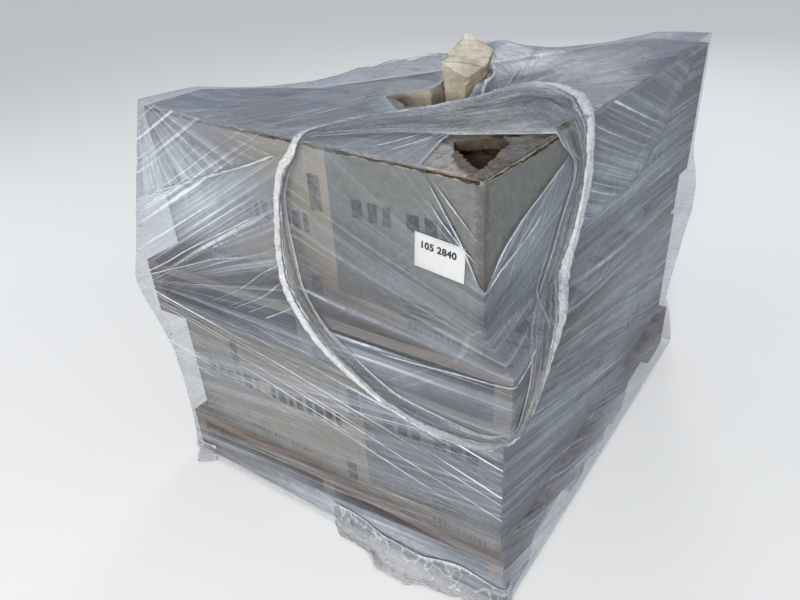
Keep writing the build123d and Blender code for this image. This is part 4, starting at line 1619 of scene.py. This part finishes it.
LOOP_FACES = [
    ((0.397, 1.005), (0.285, 1.004), 0.036, 0.016), ((0.397, 0.975), (0.330, 0.975), 0.037, 0.016),
    ((0.403, 0.940), (0.352, 0.944), 0.038, 0.016), ((0.402, 0.905), (0.345, 0.910), 0.039, 0.016),
    ((0.395, 0.865), (0.314, 0.872), 0.040, 0.016), ((0.380, 0.828), (0.292, 0.836), 0.040, 0.016),
    ((0.355, 0.776), (0.268, 0.786), 0.040, 0.015), ((0.308, 0.718), (0.222, 0.732), 0.040, 0.015),
    ((0.232, 0.684), (0.160, 0.704), 0.038, 0.014), ((0.162, 0.656), (0.100, 0.688), 0.036, 0.013),
    ((0.124, 0.622), (0.068, 0.660), 0.034, 0.012), ((0.100, 0.586), (0.056, 0.615), 0.032, 0.011),
    ((0.060, 0.540), (0.034, 0.572), 0.030, 0.009), ((0.012, 0.492), (0.010, 0.535), 0.028, 0.008),
    ((-0.040, 0.470), (-0.036, 0.514), 0.028, 0.008),
    ((-0.100, 0.463), (-0.075, 0.508), 0.028, 0.008),
    ((-0.165, 0.464), (-0.130, 0.516), 0.028, 0.009),
    ((-0.233, 0.480), (-0.190, 0.524), 0.028, 0.010),
    ((-0.305, 0.512), (-0.261, 0.538), 0.028, 0.011),
    ((-0.364, 0.548), (-0.320, 0.574), 0.027, 0.012),
    ((-0.420, 0.591), (-0.374, 0.616), 0.025, 0.012),
    ((-0.465, 0.632), (-0.424, 0.648), 0.023, 0.012),
    ((-0.500, 0.672), (-0.452, 0.682), 0.022, 0.012),
    ((-0.514, 0.716), (-0.462, 0.724), 0.021, 0.012),
    ((-0.520, 0.768), (-0.474, 0.780), 0.020, 0.012),
    ((-0.524, 0.838), (-0.492, 0.842), 0.020, 0.012),
    ((-0.523, 0.910), (-0.503, 0.912), 0.021, 0.012),
    ((-0.505, 0.972), (-0.484, 0.966), 0.023, 0.013),
    ((-0.466, 1.008), (-0.448, 1.002), 0.025, 0.014),
]
LOOP_STEPS, ROLL_COLUMNS, WEB_COLUMNS = 640, 44, 40


class PALLET_OT_film_loop(bpy.types.Operator):
    """Rolls and gathers a loop of film over the top and round the near corner."""

    bl_idname = "stone_pallet.film_loop"
    bl_label = "Gathered film"

    def execute(self, context):
        shape = PALLET_OT_film.shape
        roll, web, facing, size = [], [], [], []
        for roll_place, web_place, wide, thick in LOOP_TOP:
            for places, (x, y, z) in ((roll, roll_place), (web, web_place)):
                px, py = in_tier("upper_crate", x, y)
                places.append((float(px), float(py), z))
            facing.append((0.0, 0.0, 1.0))
            size.append((wide, thick))
        roll_s, roll_z = np.array([row[0] for row in LOOP_FACES]).T
        web_s, web_z = np.array([row[1] for row in LOOP_FACES]).T
        roll_at, roll_out = shape.at(roll_s, roll_z)
        web_at, web_out = shape.at(web_s, web_z)
        for k, (_, _, wide, thick) in enumerate(LOOP_FACES):
            roll.append(tuple(roll_at[k] + roll_out[k] * (0.003 + thick / 2)))
            web.append(tuple(web_at[k] + web_out[k] * 0.0035))
            facing.append(tuple(roll_out[k]))
            size.append((wide, thick))
        step = np.linalg.norm(np.diff(np.array(roll + roll[:1]), axis=0), axis=1)
        knots = np.concatenate([[0], np.cumsum(step)]) / step.sum()
        line, far, outward, size = (
            self.rounded(np.array(rows), knots) for rows in (roll, web, facing, size)
        )
        along = unit(np.roll(line, -1, 0) - np.roll(line, 1, 0))
        outward = unit(outward - along * (outward * along).sum(1)[:, None])
        sideways = np.cross(along, outward)
        step = np.linalg.norm(np.roll(line, -1, 0) - line, axis=1)
        length = np.concatenate([[0], np.cumsum(step)[:-1]])
        total = float(step.sum())
        phase = 2 * math.pi * length / total

        def crinkle(wave, u, seed):
            """Noise that closes on itself round the loop."""
            reach = total / (2 * math.pi * wave)
            x, y = reach * np.cos(phase), reach * np.sin(phase)
            return soft_noise(x + 11.3 * u, y - 7.7 * u, seed, 2)

        points, bunched = [], []
        wide, thick = size[:, 0], size[:, 1]
        for u in np.linspace(0, 1, ROLL_COLUMNS):
            turn = 2 * math.pi * 2.1 * u + 1.2 * np.sin(2 * phase) + 0.5 * crinkle(0.10, 0, 80)
            swell = (0.30 + 0.70 * u) * (1 + 0.22 * crinkle(0.016, 9 * u, 81))
            side = 0.5 * wide * swell * np.cos(turn) + 0.0022 * crinkle(0.011, 21 * u, 82)
            out = 0.5 * thick * swell * np.sin(turn) + 0.0018 * crinkle(0.012, 17 * u, 83)
            points.append(line + sideways * side[:, None] + outward * out[:, None])
            bunched.append(np.full(LOOP_STEPS, 1.0))
        seam = points[-1]
        for v in np.linspace(0, 1, WEB_COLUMNS + 1)[1:]:
            fold = 0.0030 * crinkle(0.30, 26 * v, 84) + 0.0007 * crinkle(0.03, 9 * v, 85)
            fold = fold * (1 - v) ** 0.3 + 0.004 * math.sin(math.pi * v)
            points.append(seam * (1 - v) + far * v + outward * fold[:, None])
            gathered = 0.95 if v == 1 else 0.55 * (1 - v) ** 3 + 0.45 * v ** 6
            bunched.append(np.full(LOOP_STEPS, gathered))
        points = np.stack(points, axis=1)
        bunched = np.stack(bunched, axis=1)
        columns = points.shape[1]
        faces = grid_faces(LOOP_STEPS, columns, closed_rows=True)
        gap = np.linalg.norm(np.diff(points, axis=1), axis=2)
        across = np.concatenate([np.zeros((LOOP_STEPS, 1)), np.cumsum(gap, axis=1)], axis=1)
        # One distance across for each column keeps the streaks straight along the strap
        across = np.repeat(across.mean(0)[None], LOOP_STEPS, 0)
        lengthwise = np.repeat(np.minimum(length, total - length)[:, None], columns, 1)
        streaks = np.stack([lengthwise, across, 0 * across], axis=-1)
        loop = surface(
            "film_loop",
            points.reshape(-1, 3),
            faces.tolist(),
            gathered_finish("gathered_film"),
            [
                ("streaks", "FLOAT_VECTOR", streaks),
                ("veil", "FLOAT", 0.1 * np.ones(across.shape)),
                ("bunched", "FLOAT", bunched),
            ],
        )
        settle(loop)
        return {"FINISHED"}

    def rounded(self, rows, knots):
        """Evenly spaced rows along the closed loop, with its turns rounded."""
        closed = np.concatenate([rows, rows[:1]])
        at = np.linspace(0, 1, LOOP_STEPS, endpoint=False)
        return evened(resampled(at, knots, closed), 36, ring=0)


# Thin rolled edges of film: half thickness, and places on the faces (distance from the near
# corner, height), on top (the crate's own plan, height) or lying on top (the plan alone)
FILM_EDGES = [
    (0.0024, "face", [
        (-0.985, 0.836), (-0.956, 0.846), (-0.86, 0.876), (-0.74, 0.916), (-0.62, 0.955),
        (-0.53, 0.990),
    ]),
    (0.0017, "face", [
        (-1.02, 0.630), (-0.95, 0.668), (-0.82, 0.738), (-0.69, 0.803), (-0.60, 0.850),
    ]),
    (0.0012, "face", [(-1.02, 0.626), (-0.90, 0.672), (-0.75, 0.722), (-0.62, 0.752)]),
    (0.0013, "face", [
        (-0.30, 0.628), (-0.20, 0.632), (-0.133, 0.638), (-0.07, 0.640), (-0.02, 0.644),
        (0.018, 0.650), (0.07, 0.662), (0.120, 0.677),
    ]),
    (0.0013, "face", [(-0.110, 1.009), (-0.060, 0.962), (-0.013, 0.917)]),
    (0.0014, "face", [(-0.121, 0.970), (-0.090, 0.935), (-0.048, 0.898), (-0.009, 0.868)]),
    (0.0015, "face", [(-0.126, 1.012), (-0.087, 0.959), (-0.046, 0.902), (-0.010, 0.830)]),
    (0.0018, "face", [
        (0.004, 0.813), (0.045, 0.836), (0.09, 0.848), (0.167, 0.868), (0.22, 0.893),
    ]),
    (0.0016, "face", [
        (0.02, 0.838), (0.07, 0.880), (0.135, 0.910), (0.233, 0.941), (0.31, 0.968),
    ]),
    (0.0016, "face", [(0.325, 0.990), (0.350, 0.968), (0.392, 0.938)]),
    (0.0015, "top", [
        (0.350, -0.586, 1.029), (0.331, -0.529, 1.030), (0.310, -0.465, 1.031),
        (0.306, -0.430, 1.033),
    ]),
    (0.0014, "top", [(0.255, -0.560, 1.030), (0.275, -0.500, 1.031), (0.290, -0.445, 1.034)]),
    (0.0013, "top", [(0.215, -0.555, 1.030), (0.240, -0.500, 1.031), (0.262, -0.455, 1.034)]),
    (0.0018, "top", [
        (-0.111, -0.167, 1.040), (-0.145, -0.066, 1.043), (-0.129, -0.022, 1.047),
        (-0.094, 0.019, 1.050), (-0.051, 0.052, 1.053),
    ]),
    (0.0042, "lying", [
        (0.115, -0.010), (0.150, -0.022), (0.177, -0.048), (0.194, -0.090), (0.196, -0.130),
        (0.216, -0.168), (0.250, -0.185),
    ]),
    (0.0020, "lying", [(0.210, 0.020), (0.222, -0.030), (0.232, -0.085), (0.246, -0.140)]),
    (0.0022, "lying", [(-0.10, 0.060), (-0.02, 0.100), (0.06, 0.130)]),
]


STRAND_COLUMNS = 9


class PALLET_OT_film_edges(bpy.types.Operator):
    """Rolls the thin free edges of the film into strands that lie on the jacket."""

    bl_idname = "stone_pallet.film_edges"
    bl_label = "Rolled edges"

    def execute(self, context):
        shape = PALLET_OT_film.shape
        points, faces, streaks, total = [], [], [], 0.0
        for seed, (half, kind, line) in enumerate(FILM_EDGES):
            rows = np.array(line)
            step = np.linalg.norm(np.diff(rows, axis=0), axis=1)
            length = float(step.sum())
            count = max(12, int(length / 0.004))
            at = np.linspace(0, length, count)
            rows = evened(resampled(at, np.concatenate([[0], np.cumsum(step)]), rows), 10)
            if kind == "face":
                middle, out = shape.at(rows[:, 0], rows[:, 1])
            else:
                px, py = in_tier("upper_crate", rows[:, 0], rows[:, 1])
                if kind == "top":
                    height = rows[:, 2]
                else:
                    height = shape.top_height(rows[:, 0], rows[:, 1]) + 0.001
                middle = np.stack([px, py, height], axis=1)
                out = np.tile([0.0, 0.0, 1.0], (count, 1))
            side = unit(np.cross(unit(np.gradient(middle, axis=0)), out))
            thin = np.clip(np.minimum(at, length - at) / 0.03, 0.25, 1)
            middle = middle + out * half * 0.9
            start = len(points)
            flat = 0 * at
            for u in np.linspace(0, 1, STRAND_COLUMNS):
                turn = 2 * math.pi * 1.25 * u + 1.5 * soft_noise(at * 30, flat, 200 + seed, 2)
                swell = 1 + 0.35 * soft_noise(at * 90, flat + 4 * u, 230 + seed, 2)
                size = half * thin * (0.7 + 0.3 * u) * swell
                ring = middle + side * (size * 1.25 * np.cos(turn))[:, None]
                points += (ring + out * (size * np.sin(turn))[:, None]).tolist()
                streaks += np.stack([at, flat + 0.02 * u + 0.05 * seed, flat], axis=1).tolist()
            faces += (grid_faces(STRAND_COLUMNS, count)[:, [0, 3, 2, 1]] + start).tolist()
            total += length
        piece = surface(
            "film_edges",
            points,
            faces,
            gathered_finish("rolled_film"),
            [
                ("streaks", "FLOAT_VECTOR", np.array(streaks)),
                ("veil", "FLOAT", np.full(len(points), 0.25)),
                ("bunched", "FLOAT", np.full(len(points), 0.85)),
            ],
        )
        settle(piece)
        return {"FINISHED"}


# The film's ends on the floor reach no farther forward than this
FRONT_LIMIT = -0.690


class PALLET_OT_film_ends(bpy.types.Operator):
    """Crumples the film's torn skirt at the front and its tail at the left corner."""

    bl_idname = "stone_pallet.film_ends"
    bl_label = "Skirt and tail"

    def execute(self, context):
        shape = PALLET_OT_film.shape
        self.skirt(shape, "film_skirt", -0.50, 0.03, 0.075, 0.070, 91)
        self.skirt(shape, "film_tail", -1.035, -0.955, 0.055, 0.062, 95)
        return {"FINISHED"}

    def skirt(self, shape, name, start, stop, tall, reach, seed):
        """A crumpled strip that leaves the film above its hem and lies out on the floor."""
        count = int((stop - start) / 0.0035)
        s = np.linspace(start, stop, count)
        level = 0 * s
        ends = np.clip(np.minimum(s - start, stop - s) / 0.05, 0, 1) ** 0.6
        top, out = shape.at(s, tall + 0.018 * soft_noise(s * 9, level, seed, 2))
        out[:, 2] = 0
        out = unit(out)
        along = unit(np.gradient(top[:, :2], axis=0))
        rows = 34
        points, streaks = [], []
        for r in range(rows):
            t = r / (rows - 1)
            drop = top[:, 2] * (1 - min(1, t / 0.55)) ** 1.3
            away = reach * ends * (0.12 + 0.88 * max(0, t - 0.15) / 0.85)
            away = away * (0.75 + 0.5 * soft_noise(s * 11, level, seed + 1, 2))
            lump = 0.010 * ends * t * (soft_noise(s * 34, level + t * 7, seed + 2, 3) + 0.5)
            z = np.maximum(drop + 0.6 * lump + 0.004 * t, 0.0012)
            z = np.maximum(z, 0.0015 + np.maximum(lump, 0))
            slide = 0.006 * soft_noise(s * 26, level + t * 5, seed + 3, 2) * t
            plan = top[:, :2] + out[:, :2] * (0.003 + np.maximum(away, 0))[:, None]
            plan = plan + along * slide[:, None]
            plan[:, 1] = np.maximum(plan[:, 1], FRONT_LIMIT)
            points.append(np.concatenate([plan, z[:, None]], axis=1))
            streaks.append(np.stack([s, level + t * 0.1, level], axis=1))
        points, streaks = np.array(points), np.array(streaks)
        t, across = np.meshgrid(np.linspace(0, 1, rows), s, indexing="ij")
        ridge = 1 - np.abs(soft_noise(across * 30, t * 3 + 0 * across, seed + 5, 2)) / 0.10
        finer = 1 - np.abs(soft_noise(across * 14 + 4, t * 2.2, seed + 7, 2)) / 0.06
        rim = np.exp(-(((1 - t) / 0.05) ** 2)) + np.exp(-((t / 0.04) ** 2))
        bunched = np.clip(np.maximum(np.maximum(ridge, finer), 0) * 0.8 + rim, 0, 1)
        finish = bpy.data.materials.get("crumpled_film")
        finish = finish or gathered_finish("crumpled_film", (0.86, 0.88, 0.90))
        piece = surface(
            name,
            points.reshape(-1, 3),
            grid_faces(rows, count)[:, ::-1].tolist(),
            finish,
            [
                ("streaks", "FLOAT_VECTOR", streaks),
                ("veil", "FLOAT", np.full(points.shape[:2], 0.16)),
                ("bunched", "FLOAT", bunched),
            ],
        )
        settle(piece)


# From the crate's face to the figures, with the film, the paper and the gaps between them
LABEL_STANDOFF = 0.00515


class PALLET_OT_label(bpy.types.Operator):
    """Prints the plain figures on the paper label."""

    bl_idname = "stone_pallet.label"
    bl_label = "Label"

    def execute(self, context):
        give("paper_label", plain_finish("label_paper", (0.74, 0.75, 0.755), 0.55, 0.05, 0.0, 90.0))
        bpy.ops.object.text_add(location=(0, 0, 0))
        text = context.object
        text.name = "label_figures"
        text.data.body = context.scene.label_settings.figures
        text.data.size = 0.0215
        text.data.align_x, text.data.align_y = "CENTER", "CENTER"
        text.data.space_character = 1.08
        text.data.offset = 0.0009
        text.data.extrude = 0.0001
        make_active(text)
        bpy.ops.object.convert(target="MESH")
        text = context.object
        text.data.materials.clear()
        ink = plain_finish("label_ink", (0.02, 0.02, 0.024), 0.5, 0.3, 0.0, 400.0)
        text.data.materials.append(ink)
        reach = [v.co.x for v in text.data.vertices]
        size = 0.078 / (max(reach) - min(reach))
        x, y = CRATE_WIDTH / 2 - 0.091, -(CRATE_DEPTH / 2 + LABEL_STANDOFF)
        px, py = in_tier("upper_crate", x, y)
        place = Matrix.Translation((float(px), float(py), UPPER_BASE + 0.197))
        turn = Matrix.Rotation(math.radians(TIERS["upper_crate"][2]), 4, "Z")
        upright = Matrix.Rotation(math.pi / 2, 4, "X")
        tilt = Matrix.Rotation(math.radians(-4), 4, "Z")
        shift = Matrix.Translation((-0.003, 0.013, 0)) @ Matrix.Diagonal((size, size, 1, 1))
        text.matrix_world = place @ turn @ upright @ tilt @ shift
        settle(text)
        return {"FINISHED"}


class PALLET_PT_panel(bpy.types.Panel):
    """Lists the settings and the operators in the order they run."""

    bl_idname = "PALLET_PT_panel"
    bl_label = "Stone pallet"
    bl_space_type = "VIEW_3D"
    bl_region_type = "UI"
    bl_category = "Stone pallet"

    def draw(self, context):
        """The settings in boxes, then a button for each operator."""
        for key, group in SETTINGS:
            box = self.layout.box()
            for name in group.__annotations__:
                box.prop(getattr(context.scene, key), name)
        for operator in OPERATORS:
            self.layout.operator(operator.bl_idname)


SETTINGS = [
    ("stage_settings", StageSettings),
    ("wood_settings", WoodSettings),
    ("board_settings", BoardSettings),
    ("stone_settings", StoneSettings),
    ("film_settings", FilmSettings),
    ("label_settings", LabelSettings),
]
OPERATORS = [
    PALLET_OT_stage,
    PALLET_OT_wood,
    PALLET_OT_board,
    PALLET_OT_stones,
    PALLET_OT_film,
    PALLET_OT_film_loop,
    PALLET_OT_film_edges,
    PALLET_OT_film_ends,
    PALLET_OT_label,
]


def register():
    """Adds the settings, the operators and the panel."""
    for key, group in SETTINGS:
        bpy.utils.register_class(group)
        setattr(bpy.types.Scene, key, bpy.props.PointerProperty(type=group))
    for operator in OPERATORS:
        bpy.utils.register_class(operator)
    bpy.utils.register_class(PALLET_PT_panel)


def unregister():
    """Takes the panel, the operators and the settings away."""
    bpy.utils.unregister_class(PALLET_PT_panel)
    for operator in reversed(OPERATORS):
        bpy.utils.unregister_class(operator)
    for key, group in reversed(SETTINGS):
        delattr(bpy.types.Scene, key)
        bpy.utils.unregister_class(group)


def main():
    """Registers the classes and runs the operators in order."""
    register()
    deselect()
    bpy.ops.stone_pallet.stage()
    bpy.ops.stone_pallet.wood()
    bpy.ops.stone_pallet.board()
    bpy.ops.stone_pallet.stones()
    bpy.ops.stone_pallet.film()
    bpy.ops.stone_pallet.film_loop()
    bpy.ops.stone_pallet.film_edges()
    bpy.ops.stone_pallet.film_ends()
    bpy.ops.stone_pallet.label()


if __name__ == "__main__":
    main()
